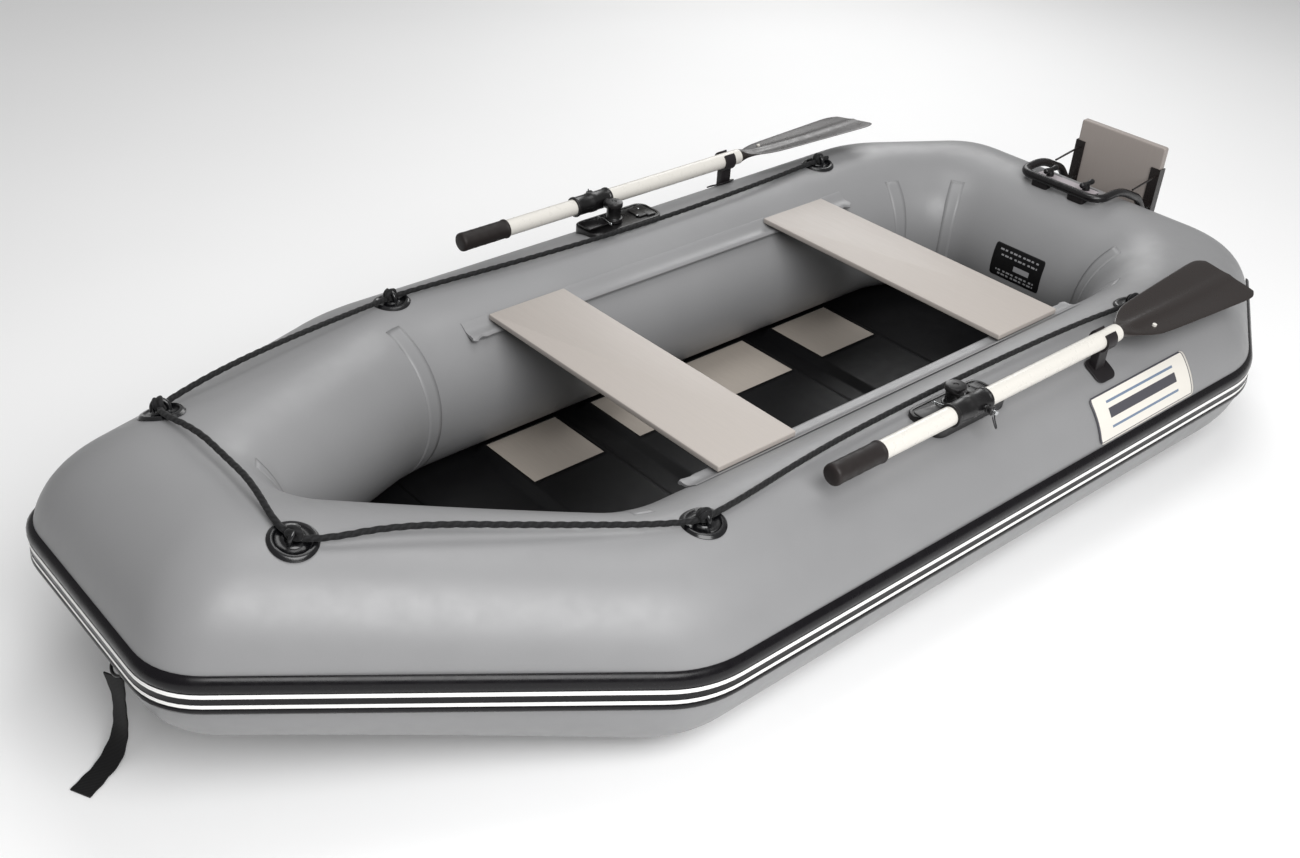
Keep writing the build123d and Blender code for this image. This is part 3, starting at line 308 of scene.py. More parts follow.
@dataclass(frozen=True)
class Metal:
    """Bare or coated metal: fine draw marks, uneven gloss, scuffed edges."""

    name: str
    colour: str
    worn: str
    metallic: float
    roughness: float
    wear: float = 0.4
    mark_mm: float = 1.5
    mark_depth_mm: float = 0.03
    scuff_mm: float = 14.0

    def make(self) -> Any:
        """Builds the material: marks in gloss and relief, and rubbed edges."""
        material, tree, shader = blank(self.name)
        place = add(tree, "ShaderNodeTexCoord", {}).outputs["Object"]
        drawn = add(tree, "ShaderNodeMapping", {"Vector": place, "Scale": (0.04, 1.0, 1.0)}).outputs[0]
        mark = noise_at(tree, drawn, self.mark_mm, 3.0)
        scuff = noise_at(tree, place, self.scuff_mm, 6.0)
        edge = add(tree, "ShaderNodeNewGeometry", {}).outputs["Pointiness"]
        rubbed = ranged(tree, edge, (0.52, 0.6), (0.0, self.wear))
        tree.links.new(mixed(tree, rubbed, srgb(self.colour), srgb(self.worn)), shader.inputs["Base Color"])
        low, high = self.roughness - 0.07, self.roughness + 0.1
        tree.links.new(ranged(tree, scuff, (0.3, 0.7), (low, high)), shader.inputs["Roughness"])
        shader.inputs["Metallic"].default_value = self.metallic
        tree.links.new(raised(tree, mark, 0.3, self.mark_depth_mm), shader.inputs["Normal"])
        return material


@dataclass(frozen=True)
class Thread:
    """Spun polyester: rope strands and webbing, soft, with a cloth sheen and a woven rib."""

    name: str
    colour: str
    worn: str
    rib_mm: float
    roughness: float = 0.78
    rib_depth_mm: float = 0.25
    stray: float = 1.5
    sheen: float = 0.08
    specular: float = 0.3
    fuzz_mm: float = 2.0

    def make(self) -> Any:
        """Builds the material: crossed yarns along the piece's own cut, faded on the crowns."""
        material, tree, shader = blank(self.name)
        cut = add(tree, "ShaderNodeUVMap", {}, uv_map="cut").outputs[0]
        scale = per_metre(self.rib_mm) / math.tau
        sockets = {"Vector": cut, "Scale": scale, "Distortion": self.stray, "Detail": 1.0}
        yarn = add(tree, "ShaderNodeTexWave", sockets, bands_direction="DIAGONAL").outputs["Fac"]
        place = add(tree, "ShaderNodeTexCoord", {}).outputs["Object"]
        fuzz = noise_at(tree, place, self.fuzz_mm, 4.0)
        share = add(tree, "ShaderNodeMath", {0: yarn, 1: fuzz}, operation="MULTIPLY").outputs[0]
        tree.links.new(mixed(tree, share, srgb(self.colour), srgb(self.worn)), shader.inputs["Base Color"])
        shader.inputs["Roughness"].default_value = self.roughness
        shader.inputs["Sheen Weight"].default_value = self.sheen
        shader.inputs["Specular IOR Level"].default_value = self.specular
        tree.links.new(raised(tree, yarn, 0.6, self.rib_depth_mm), shader.inputs["Normal"])
        return material


@dataclass(frozen=True)
class Ground:
    """A studio floor: pale, matt, faintly uneven."""

    name: str
    colour: str
    shade: str

    def make(self) -> Any:
        """Builds the material with a barely visible mottle."""
        material, tree, shader = blank(self.name)
        place = add(tree, "ShaderNodeTexCoord", {}).outputs["Object"]
        cloud = add(tree, "ShaderNodeTexNoise", {"Vector": place, "Scale": 1.5, "Detail": 2.0}).outputs[0]
        tree.links.new(mixed(tree, cloud, srgb(self.colour), srgb(self.shade)), shader.inputs["Base Color"])
        shader.inputs["Roughness"].default_value = 0.8
        return material


HULL_GREY = CoatedFabric("coated_pvc_grey_calendered", "8A8A8B", "848485", 0.4)
INNER_CLOTH = CoatedFabric("coated_pvc_uncoated_side", "6E706F", "646665", 0.7)
FLOOR_BLACK = CoatedFabric(
    "coated_pvc_black_embossed", "08080A", "0F0F10", 0.46, print_mm=0.08, specular=0.3
)
STRAKE_BLACK = MouldedPolymer(
    "epdm_strake_extruded_black", "08060A", "1A171A", 0.26, wear=0.3, specular=0.28
)
STRAKE_WHITE = MouldedPolymer("epdm_strake_stripe_white", "F1F0EE", "D9D7D4", 0.4, wear=0.2)
LOCK_BLACK = MouldedPolymer("glass_filled_nylon_black", "0D0C0D", "343233", 0.3, wear=0.6, specular=0.45)
GRIP_BLACK = MouldedPolymer(
    "moulded_rubber_grip", "1D1817", "3B3433", 0.52, grain_mm=1.4, grain_depth_mm=0.12
)
BLADE_BLACK = MouldedPolymer("polypropylene_blade_moulded", "231D1B", "3E3835", 0.3, wear=0.4, specular=0.5)
RUBBER_BLACK = MouldedPolymer("moulded_rubber_clip", "161315", "322D2E", 0.45)
EYELET_BLACK = MouldedPolymer("soft_pvc_eyelet_gloss", "08080A", "2A2A2C", 0.2, wear=0.5, coat=0.4)
SEAT_PAINT = PaintedPlywood("plywood_painted_taupe", "ACA59F", "A39C96", Grain.ACROSS)
# The seats' taupe paint made about a tenth darker for the upright motor board: painted shade, not a
# different paint.
BOARD_PAINT_WITH_PAINTED_SHADE = PaintedPlywood("plywood_painted_taupe_upright", "9B938E", "928A85", Grain.UPRIGHT)
SLAT_PAINT = PaintedPlywood("plywood_slat_painted", "A9A198", "968E86", Grain.ACROSS, 0.5)
SHAFT_WHITE = Metal("aluminium_tube_white_sleeve", "D9D6CF", "C4C0B9", 0.0, 0.3, 0.2)
SLIDE_METAL = Metal("aluminium_extruded_mill", "B9BBBD", "D5D7D9", 1.0, 0.38)
STEEL = Metal("stainless_steel_drawn", "A9ABAC", "DADBDC", 1.0, 0.2)
BRACKET_BLACK = Metal("steel_tube_powder_coated", "0C0A0C", "2C2624", 0.0, 0.26, 0.5)
SPRING_STEEL = Metal("spring_steel_blackened", "2A2A2C", "77787A", 1.0, 0.25)
TIE_GREY = Metal("steel_plate_grey_painted", "968E92", "AFA8AB", 0.0, 0.4)
ROPE_BLACK = Thread("braided_polyester_rope", "080809", "232325", 3.0)
WEB_BLACK = Thread("polyester_webbing_black", "050506", "141415", 2.2)
FILM_WHITE = MouldedPolymer("vinyl_film_white", "DEDAD2", "CFCBC3", 0.38, wear=0.0)
FILM_INK = MouldedPolymer("vinyl_film_ink_charcoal", "4B4A50", "5A595F", 0.4, wear=0.0)
FILM_SLATE = MouldedPolymer("vinyl_film_ink_slate", "6F7F94", "7F8DA0", 0.4, wear=0.0)
FILM_PRINT = MouldedPolymer("vinyl_film_print_grey", "8E8E90", "9A9A9C", 0.4, wear=0.0)
FILM_BLACK = MouldedPolymer("vinyl_film_black", "101011", "1A1A1B", 0.35, wear=0.0)
FLOOR_STAGE = Ground("studio_floor_pale", "FAFAFA", "F7F7F7")

MADE: dict[str, Any] = {}


def finish_of(finish: Any) -> Any:
    """The Blender material of a finish, made once."""
    if finish.name not in MADE:
        MADE[finish.name] = finish.make()
    return MADE[finish.name]


# ---------------------------------------------------------------- mesh tools


def lay_grid(rows: int, columns: int, place: Place, measure: Measure, closed: tuple[bool, bool]) -> Any:
    """Lays a flat grid over a surface.

    Args:
        rows: Steps along the surface.
        columns: Steps across it.
        place: Where the vertex of a row and column goes.
        measure: Its place on the flat cut, in metres.
        closed: Whether the rows and the columns meet themselves.

    Returns:
        The new mesh.
    """
    bm = bmesh.new()
    cut = bm.loops.layers.uv.new("cut")
    bmesh.ops.create_grid(bm, x_segments=rows, y_segments=columns, size=1.0)
    at = {v: (round((v.co.x + 1) / 2 * rows), round((v.co.y + 1) / 2 * columns)) for v in bm.verts}
    for face in bm.faces:
        for loop in face.loops:
            loop[cut].uv = measure(*at[loop.vert])
    for vertex, (row, column) in at.items():
        vertex.co = place(row, column)
    if any(closed):
        bmesh.ops.remove_doubles(bm, verts=bm.verts[:], dist=1e-6)
    bmesh.ops.recalc_face_normals(bm, faces=bm.faces[:])
    return bm


def capped(bm: Any) -> Any:
    """A mesh with its open ends filled and its faces turned outward."""
    bmesh.ops.holes_fill(bm, edges=[e for e in bm.edges if e.is_boundary], sides=0)
    bmesh.ops.recalc_face_normals(bm, faces=bm.faces[:])
    return bm


def facing(bm: Any, way: Vector) -> Any:
    """A sheet with every face turned to a direction."""
    for face in bm.faces:
        if face.normal.dot(way) < 0:
            face.normal_flip()
    return bm


def thicken(piece: Any, thickness: float, offset: float) -> None:
    """Gives a sheet its thickness.

    Args:
        piece: The sheet.
        thickness: How thick it is.
        offset: Which side it grows to: -1 below, 0 both.
    """
    shell = piece.modifiers.new("thickness", "SOLIDIFY")
    shell.thickness = thickness
    shell.offset = offset


def carried_frames(path: Sequence[Vector], first: Vector) -> list[tuple[Vector, Vector, Vector]]:
    """Frames carried along a path without twist.

    Args:
        path: The points.
        first: A direction that the first frame's side leans to.

    Returns:
        For each point: the point, a side and the other side.
    """
    out = []
    side = first
    for k, here in enumerate(path):
        along = (path[min(k + 1, len(path) - 1)] - path[max(k - 1, 0)]).normalized()
        side = (side - along * side.dot(along)).normalized()
        out.append((here, side, along.cross(side)))
    return out


def lengths_along(path: Sequence[Vector]) -> list[float]:
    """The running length at each point of a path."""
    run = [0.0]
    for before, here in zip(path, path[1:]):
        run.append(run[-1] + (here - before).length)
    return run


def tube_mesh(
    path: Sequence[Vector], radius: Callable[[float, float], float], sides: int, first: Vector
) -> Any:
    """A tube along a path, closed at its ends.

    Args:
        path: The points of its centre line.
        radius: Its radius at a running length and an angle.
        sides: Steps round it.
        first: Where its first side leans to.

    Returns:
        The new mesh.
    """
    frames = carried_frames(path, first)
    run = lengths_along(path)

    def place(row: int, column: int) -> Vector:
        here, side, other = frames[row]
        angle = math.tau * (column % sides) / sides
        return here + (side * math.cos(angle) + other * math.sin(angle)) * radius(run[row], angle)

    def measure(row: int, column: int) -> tuple[float, float]:
        return run[row], math.tau * radius(run[row], 0.0) * column / sides

    return capped(lay_grid(len(path) - 1, sides, place, measure, (False, True)))


def rod(path: Sequence[Vector], radius: float, sides: int, first: Vector) -> Any:
    """A tube of one radius along a path."""
    return tube_mesh(path, lambda run, angle: radius, sides, first)


def turned(profile: Sequence[tuple[float, float]], steps: int = 40) -> Any:
    """A turned shape about local Z.

    Args:
        profile: Radius and height of each point, in millimetres, from bottom to top.
        steps: Steps round it.

    Returns:
        The new mesh, closed at its poles.
    """
    bm = bmesh.new()
    bm.loops.layers.uv.new("cut")
    line = [bm.verts.new((radius * MM, 0, height * MM)) for radius, height in profile]
    edges = [bm.edges.new(pair) for pair in zip(line, line[1:])]
    axis = {"cent": (0, 0, 0), "axis": (0, 0, 1), "angle": math.tau, "steps": steps}
    bmesh.ops.spin(bm, geom=line + edges, use_merge=True, **axis)
    bmesh.ops.remove_doubles(bm, verts=bm.verts[:], dist=1e-6)
    return capped(bm)


def block(low: Sequence[float], high: Sequence[float], plan: float, edge: float, upright: int = 2) -> Any:
    """A block with rounded corners in plan and softened edges.

    Args:
        low: Its lowest corner.
        high: Its highest corner.
        plan: The radius of its upright corners.
        edge: The radius of every other edge.
        upright: The axis that the plan radius turns about, 0 to 2.

    Returns:
        The new mesh.
    """
    bm = bmesh.new()
    bm.loops.layers.uv.new("cut")
    bmesh.ops.create_cube(bm, size=1.0)
    size = Vector(high) - Vector(low)
    bmesh.ops.scale(bm, vec=size, verts=bm.verts[:])
    bmesh.ops.translate(bm, vec=(Vector(low) + Vector(high)) / 2, verts=bm.verts[:])
    options = {"offset_type": "OFFSET", "affect": "EDGES", "profile": 0.5, "material": -1}
    options["clamp_overlap"] = True

    def runs_up(e: Any) -> bool:
        way = e.verts[1].co - e.verts[0].co
        return abs(way[upright]) > 0.9 * way.length

    corners = [e for e in bm.edges if runs_up(e)]
    bmesh.ops.bevel(bm, geom=corners, offset=plan, segments=6, **options)
    rims = [e for e in bm.edges if e.calc_face_angle(0.0) > math.radians(60)]
    bmesh.ops.bevel(bm, geom=rims, offset=edge, segments=3, **options)
    return bm


def moved(bm: Any, matrix: Matrix) -> Any:
    """A mesh moved, and turned right side out if the move mirrored it."""
    bmesh.ops.transform(bm, matrix=matrix, verts=bm.verts[:])
    if matrix.determinant() < 0:
        bmesh.ops.reverse_faces(bm, faces=bm.faces[:])
    return bm


def together(*parts: Any) -> Any:
    """Several meshes as one."""
    bm = bmesh.new()
    for part in parts:
        mesh = bpy.data.meshes.new("part")
        part.to_mesh(mesh)
        part.free()
        bm.from_mesh(mesh)
        bpy.data.meshes.remove(mesh)
    return bm


def upright(profile: Sequence[tuple[float, float]], steps: int, place: Sequence[float]) -> Any:
    """A turned shape stood upright at a place."""
    return moved(turned(profile, steps), Matrix.Translation(place))


def arch(radius: float, rise: float, leg: float, steps: int) -> list[tuple[float, float]]:
    """Points of a half loop, across and up, that stands on legs of a length."""
    turns = [math.pi * k / steps for k in range(steps + 1)]
    return [(-radius * math.cos(turn), leg + rise * math.sin(turn)) for turn in turns]


def reach_of(low: Vector, high: Vector) -> tuple[float, float]:
    """The near and far distance of a box from the middle plane."""
    near, far = sorted((abs(low.y), abs(high.y)))
    return near, far


def frame_at(origin: Vector, z_dir: Vector, x_dir: Vector) -> Matrix:
    """A frame with its Z and, as near as it goes, its X along given directions."""
    z = z_dir.normalized()
    x = (x_dir - z * x_dir.dot(z)).normalized()
    matrix = Matrix((x, z.cross(x), z)).transposed().to_4x4()
    return Matrix.Translation(origin) @ matrix


def across(side: Side) -> Matrix:
    """The move that takes a port shape to a side."""
    return Matrix.Diagonal((1.0, side.value, 1.0, 1.0))


def publish(
    bm: Any,
    name: str,
    body: str,
    finishes: Sequence[Any],
    stands_for: Sequence[str] = (),
    sharp: float = 35.0,
) -> Any:
    """Turns a mesh into a piece that rides on a body.

    Args:
        bm: The mesh, which is freed.
        name: The piece's name.
        body: The body it rides on.
        finishes: Its finishes, in the order of its faces' material numbers.
        stands_for: CAD nodes that it replaces.
        sharp: Edges that turn more than this many degrees stay sharp.

    Returns:
        The piece.
    """
    mesh = bpy.data.meshes.new(name)
    bm.to_mesh(mesh)
    bm.free()
    for finish in finishes:
        mesh.materials.append(finish_of(finish))
    mesh.shade_smooth()
    mesh.set_sharp_from_angle(angle=math.radians(sharp))
    piece = bpy.data.objects.new(name, mesh)
    bpy.context.scene.collection.objects.link(piece)
    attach(piece, body)
    if stands_for:
        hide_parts(*stands_for)
    LOG.info("%s on %s, %d faces", name, body, len(mesh.polygons))
    return piece


def route_points(points: Sequence[Sequence[float]], steps: int) -> list[Vector]:
    """Points read from the smooth line of a route.

    Args:
        points: The route's control points, in metres.
        steps: Steps for each control point.

    Returns:
        The line's points in order.
    """
    curve = bpy.data.curves.new("route", "CURVE")
    curve.dimensions = "3D"
    curve.resolution_u = steps
    spline = curve.splines.new("NURBS")
    spline.points.add(len(points) - 1)
    for control, point in zip(spline.points, points):
        control.co = (*point, 1.0)
    spline.order_u = 3
    spline.use_endpoint_u = True
    holder = bpy.data.objects.new("route", curve)
    mesh = bpy.data.meshes.new_from_object(holder)
    line = [v.co.copy() for v in mesh.vertices]
    bpy.data.objects.remove(holder)
    bpy.data.curves.remove(curve)
    bpy.data.meshes.remove(mesh)
    return line


def dress(node: str, finish: Any) -> None:
    """Gives a CAD node its finish."""
    data = frame["nodes"][node].data
    data.materials.clear()
    data.materials.append(finish_of(finish))


# ---------------------------------------------------------------- the ring that everything is glued to


@dataclass
class TubeRing:
    """The closed ring of tube axes, from its packed panels and the corners between them."""

    bow_bend_x: float = 0.590
    stern_bend_x: float = -0.925
    bow_half_width: float = 0.130
    stern_half_width: float = 0.308
    ease: float = 0.072
    ease_steps: int = 8
    spacing: float = 0.028
    radius: float = field(init=False)
    corners: list[Vector] = field(init=False)

    def __post_init__(self) -> None:
        """Reads the tube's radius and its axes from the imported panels."""
        low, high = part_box("tube_side_port")
        self.radius = (high.z - low.z) / 2
        side_y = (high.y + low.y) / 2
        bow = sum(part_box("tube_bow"), Vector()) / 2
        stern = sum(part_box("tube_stern"), Vector()) / 2
        port = [
            Vector((bow.x, self.bow_half_width, bow.z)),
            Vector((self.bow_bend_x, side_y, self.radius)),
            Vector((self.stern_bend_x, side_y, self.radius)),
            Vector((stern.x, self.stern_half_width, self.radius)),
        ]
        self.corners = port + [Vector((v.x, -v.y, v.z)) for v in reversed(port)]

    @property
    def count(self) -> int:
        """The number of corners."""
        return len(self.corners)

    def corner(self, i: int) -> Vector:
        """The axis corner of this number."""
        return self.corners[i % self.count]

    def heading(self, i: int) -> Vector:
        """The way that panel i runs."""
        return (self.corner(i + 1) - self.corner(i)).normalized()

    def turn(self, i: int) -> tuple[Vector, Vector, float]:
        """Outboard and upward directions of the mitre at corner i, and half its turn."""
        before, after = self.heading(i - 1), self.heading(i)
        return (before - after).normalized(), before.cross(after).normalized() * -1, before.angle(after) / 2

    def on_mitre(self, i: int, radius: float, angle: float) -> Vector:
        """The point of the mitre at corner i on a tube of a radius, at an angle up from outboard."""
        out, up, half = self.turn(i)
        if up.z < 0:
            up = -up
        aside = out * (radius * math.cos(angle) / math.cos(half))
        return self.corner(i) + aside + up * (radius * math.sin(angle))

    def outboard_at(self, i: int, radius: float, rise: float) -> Vector:
        """The outboard point of the mitre at corner i that is this far above the axis."""
        low, high = -math.pi / 2, math.pi / 2
        for _ in range(40):
            middle = (low + high) / 2
            if self.on_mitre(i, radius, middle).z - self.corner(i).z < rise:
                low = middle
            else:
                high = middle
        return self.on_mitre(i, radius, (low + high) / 2)

    def fill(self, i: int) -> int:
        """Steps along panel i between its eased corners."""
        return max(2, round((self.corner(i + 1) - self.corner(i)).length / self.spacing))

    def eased(self, before: Vector, here: Vector, after: Vector, shares: Sequence[float]) -> list[Vector]:
        """Points of the soft turn of a line at a corner.

        Args:
            before: The line's corner before.
            here: Its corner here.
            after: Its corner after.
            shares: Places along the turn, 0 to 1.

        Returns:
            One point for each share.
        """
        back, ahead = before - here, after - here
        reach = min(self.ease, 0.48 * back.length, 0.48 * ahead.length)
        a = here + back.normalized() * reach
        b = here + ahead.normalized() * reach
        return [a * (1 - t) ** 2 + here * (2 * t * (1 - t)) + b * t**2 for t in shares]

    def soft_line(self, points: Sequence[Vector], first: int, closed: bool) -> list[Vector]:
        """A line through corners with soft turns and even steps between them.

        Args:
            points: The line's corners.
            first: The ring corner that it starts at.
            closed: Whether it goes all the way round.

        Returns:
            The line's points, which are as many for every line of the same corners.
        """
        total = len(points)
        shares = [k / self.ease_steps for k in range(self.ease_steps + 1)]
        groups = []
        for k, here in enumerate(points):
            inner = closed or 0 < k < total - 1
            after = points[(k + 1) % total]
            groups.append(self.eased(points[k - 1], here, after, shares) if inner else [here])
        out = []
        for k, group in enumerate(groups):
            out += group
            if closed or k < total - 1:
                ahead = groups[(k + 1) % total][0]
                steps = self.fill(first + k)
                out += [group[-1].lerp(ahead, s / steps) for s in range(1, steps)]
        return out + [out[0]] if closed else out

    def inset(self, i: int, by: float) -> Vector:
        """Corner i moved inboard in plan so that both its panels move in by the inset."""
        before, after = [self.heading(k).xy.normalized() for k in (i - 1, i)]
        inboard = (after - before).normalized()
        half = before.angle(after) / 2
        shift = inboard * (by / math.cos(half))
        return self.corner(i) + Vector((shift.x, shift.y, 0))

    def side_point(self, x: float, angle: float, radius: float, inboard: bool) -> Vector:
        """A point round the port side tube, its angle up from level."""
        y = self.corner(1).y + (-1 if inboard else 1) * radius * math.cos(angle)
        return Vector((x, y, self.radius + radius * math.sin(angle)))


RING = TubeRing()


@dataclass
class Hull:
    """The inflated tube ring, its glued seam bands and its rubbing strake."""

    around: int = 96
    pucker: float = 0.9 * MM
    pucker_count: int = 22
    pucker_reach: float = 0.06
    band_lift: float = 0.2 * MM
    tape_depth: float = 2.4 * MM
    band_shares: tuple[float, ...] = (0.36, 0.43, 0.5, 0.57, 0.64)
    band_arc: tuple[float, float] = (math.radians(128), math.radians(262))
    strake_low: float = -20.0
    strake_profile: Profile = (
        (0, 0.2), (0.8, 3.4), (3.5, 6.2), (8, 7.4), (12.5, 6.4), (14.6, 4.8), (15.0, 5.5), (22.5, 5.5),
        (22.9, 4.8), (28.6, 4.6), (34.6, 4.8), (35.0, 5.5), (42.5, 5.5), (42.9, 4.8), (46, 5.8), (51, 7.6),
        (57, 8.1), (63, 7.4), (67.5, 5.2), (70.2, 2.6), (71, 0.2),
    )
    white_bands: Profile = ((15.0, 22.5), (35.0, 42.5))

    def skin(self) -> None:
        """The eight tube panels as one inflated skin with softly creased mitres."""
        lines = []
        for column in range(self.around):
            angle = math.tau * column / self.around
            corners = [RING.on_mitre(i, RING.radius, angle) for i in range(RING.count)]
            lines.append(RING.soft_line(corners, 0, True))
        rows = len(lines[0]) - 1
        run = lengths_along(lines[self.around // 4])

        def place(row: int, column: int) -> Vector:
            column %= self.around
            here = lines[column][row % rows]
            angle = math.tau * column / self.around
            inboard = max(0.0, -math.cos(angle))
            gap = min((here - RING.on_mitre(i, RING.radius, angle)).length for i in range(RING.count))
            fade = math.exp(-((gap / self.pucker_reach) ** 2))
            ripple = math.sin(angle * self.pucker_count) * self.pucker * inboard * fade
            return here + Z_AXIS * ripple * math.sin(angle)

        def measure(row: int, column: int) -> tuple[float, float]:
            return run[row], math.tau * RING.radius * column / self.around

        panels = [n for n in frame["nodes"] if n.startswith("tube_")]
        bm = lay_grid(rows, self.around, place, measure, (True, True))
        publish(bm, "hull_skin", "hull", [HULL_GREY], sorted(panels), 60)

    def bands(self, radius: float, arc: tuple[float, float]) -> Any:
        """Bands of fabric glued along the eight mitre seams.

        Args:
            radius: The tube radius that they lie on.
            arc: Where each starts and ends round the tube, its angle up from outboard.

        Returns:
            The new mesh.
        """
        parts = []
        whole = arc[1] - arc[0] >= math.tau
        steps = round(self.around * (arc[1] - arc[0]) / math.tau)
        for i in range(RING.count):
            columns = []
            for column in range(steps + 1):
                angle = arc[0] + (arc[1] - arc[0]) * column / steps
                corners = [RING.on_mitre(k, radius, angle) for k in (i - 1, i, i + 1)]
                columns.append(RING.eased(*corners, self.band_shares))

            def place(row: int, column: int) -> Vector:
                return columns[column][row]

            def measure(row: int, column: int) -> tuple[float, float]:
                return row * 10 * MM, math.tau * radius * column / self.around

            parts.append(lay_grid(len(self.band_shares) - 1, steps, place, measure, (False, whole)))
        return together(*parts)

    def seams(self) -> None:
        """The tapes inside the mitre seams, and the bands over their inboard side."""
        outer = self.bands(RING.radius + self.band_lift, self.band_arc)
        inner = self.bands(RING.radius - self.tape_depth, (0.0, math.tau))
        band = publish(outer, "seam_bands", "hull", [HULL_GREY], (), 60)
        tape = publish(inner, "seam_tapes_inner", "hull", [INNER_CLOTH], ["seam_tapes"], 60)
        for piece in (band, tape):
            thicken(piece, 2 * self.band_lift, 0.0)

    def strake(self) -> None:
        """The extruded strake with its two white lines, round all but the stern."""
        order = [4, 5, 6, 7, 0, 1, 2, 3]
        lines = []
        for rise, proud in self.strake_profile:
            height = (self.strake_low + rise) * MM
            points = [RING.outboard_at(i, RING.radius + proud * MM, height) for i in order]
            lines.append(RING.soft_line(points, order[0], False))
        sides = len(lines)

        def place(row: int, column: int) -> Vector:
            return lines[column % sides][row]

        def measure(row: int, column: int) -> tuple[float, float]:
            return row * RING.spacing, self.strake_profile[column % sides][0] * MM

        bm = capped(lay_grid(len(lines[0]) - 1, sides, place, measure, (False, True)))
        cut = bm.loops.layers.uv["cut"]
        for face in bm.faces:
            rise = sum(loop[cut].uv.y for loop in face.loops) / len(face.loops) / MM
            low = min(loop[cut].uv.y for loop in face.loops) / MM
            face.material_index = int(any(a < rise < b and low > a - 1 for a, b in self.white_bands))
        publish(bm, "rubbing_strake_lined", "hull", [STRAKE_BLACK, STRAKE_WHITE], ["rubbing_strake"],
                30)

    def build(self) -> None:
        """Builds the ring."""
        self.skin()
        self.seams()
        self.strake()
        dress("air_baffles", INNER_CLOTH)


@dataclass
class Floor:
    """The sealed floor skin, and over it the mat that holds plywood slats in sleeves with windows."""

    slat_length: float = 0.212
    slat_pitch: float = 0.2925
    slat_count: int = 4
    window_length: float = 0.190
    window_width: float = 0.172
    window_edge: float = 0.006
    sheet: float = 2.0 * MM
    shoulder: float = 0.012
    step: float = 0.014
    wrinkle: float = 0.9 * MM
    over_slat: float = 1.0 * MM
    mat_cloth: float = 1.4 * MM
    skin_cloth: float = 1.2 * MM
    skin_columns: int = 48
    sag: float = 0.5 * MM
    tuck: float = 0.012

    def stations(self, low: float, high: float, keep: Sequence[float]) -> list[float]:
        """Grid places between two ends that include given ones, no further apart than a step."""
        marks = sorted({low, high, *[k for k in keep if low < k < high]})
        out = [marks[0]]
        for a, b in zip(marks, marks[1:]):
            steps = max(1, math.ceil((b - a) / self.step))
            out += [a + (b - a) * k / steps for k in range(1, steps + 1)]
        return out

    def mat(self) -> None:
        """The mat, raised over each slat and cut open where the slat shows."""
        low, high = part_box("floor_mat")
        slat_low, slat_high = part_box("floor_slats")
        reach = (slat_high.y - slat_low.y) / 2
        inset = RING.corner(1).y - high.y
        bend, stern = RING.inset(2, inset), RING.inset(3, inset)
        first = slat_high.x - self.slat_length / 2
        centres = [first - k * self.slat_pitch for k in range(self.slat_count)]
        half = self.slat_length / 2
        window_y = (reach - self.window_edge - self.window_width, reach - self.window_edge)
        edges = (self.window_length / 2, half, half + self.shoulder)
        keep_x = [c + s * edge for c in centres for s in (-1, 1) for edge in edges]
        keep_y = [s * y for y in (*window_y, reach, reach + self.shoulder) for s in (-1, 1)]
        xs = self.stations(low.x, high.x, keep_x)
        ys = self.stations(-high.y, high.y, keep_y)

        def half_width(x: float) -> float:
            if x > bend.x:
                return high.y
            share = (bend.x - x) / (bend.x - stern.x)
            return high.y + (stern.y - high.y) * share

        def rise(x: float, y: float) -> float:
            share = 0.0
            for centre in centres:
                out_x = max(0.0, abs(x - centre) - half) / self.shoulder
                out_y = max(0.0, abs(y) - reach) / self.shoulder
                share = max(share, 1 - min(1.0, math.hypot(out_x, out_y)))
            return share * share * (3 - 2 * share)

        def place(row: int, column: int) -> Vector:
            x, y = xs[row], ys[column]
            y = max(-half_width(x), min(half_width(x), y))
            ripple = noise.noise(Vector((x * 9, y * 14, 0.3))) * self.wrinkle
            top = slat_high.z + self.over_slat - low.z - self.sheet
            lift = rise(x, y)
            return Vector((x, y, low.z + self.sheet + top * lift + max(0.0, ripple) * (1 - lift)))

        def measure(row: int, column: int) -> tuple[float, float]:
            return xs[row], ys[column]

        bm = lay_grid(len(xs) - 1, len(ys) - 1, place, measure, (False, False))
        opened = []
        for face in bm.faces:
            middle = face.calc_center_median()
            within_x = any(abs(middle.x - c) < self.window_length / 2 for c in centres)
            if within_x and window_y[0] < abs(middle.y) < window_y[1]:
                opened.append(face)
        bmesh.ops.delete(bm, geom=opened, context="FACES")
        bmesh.ops.dissolve_degenerate(bm, dist=1e-5, edges=bm.edges[:])
        facing(bm, Z_AXIS)
        piece = publish(bm, "floor_mat_fabric", "hull", [FLOOR_BLACK], ["floor_mat"], 50)
        thicken(piece, self.mat_cloth, -1.0)
        dress("floor_slats", SLAT_PAINT)

    def skin(self) -> None:
        """The sealed floor, glued under the tubes and rising with the bow."""
        low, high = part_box("floor_skin")
        side = RING.corner(1).y - high.y
        by = side - self.tuck
        marks = [RING.inset(i, by) for i in (3, 2, 1, 0)]
        xs = self.stations(marks[0].x, marks[-1].x, [marks[1].x, marks[2].x])
        columns = self.skin_columns

        def half_width(x: float) -> float:
            for a, b in zip(marks, marks[1:]):
                if x <= b.x + 1e-9:
                    return a.y + (b.y - a.y) * (x - a.x) / (b.x - a.x)
            return marks[-1].y

        def place(row: int, column: int) -> Vector:
            x = xs[row]
            y = half_width(x) * (2 * column / columns - 1)
            climb = max(0.0, (x - RING.bow_bend_x) / (RING.corner(0).x - RING.bow_bend_x))
            z = low.z + self.skin_cloth + (RING.corner(0).z - RING.radius) * climb
            return Vector((x, y, z + noise.noise(Vector((x * 7, y * 7, 2.0))) * self.sag))

        def measure(row: int, column: int) -> tuple[float, float]:
            return xs[row], half_width(xs[row]) * 2 * column / columns

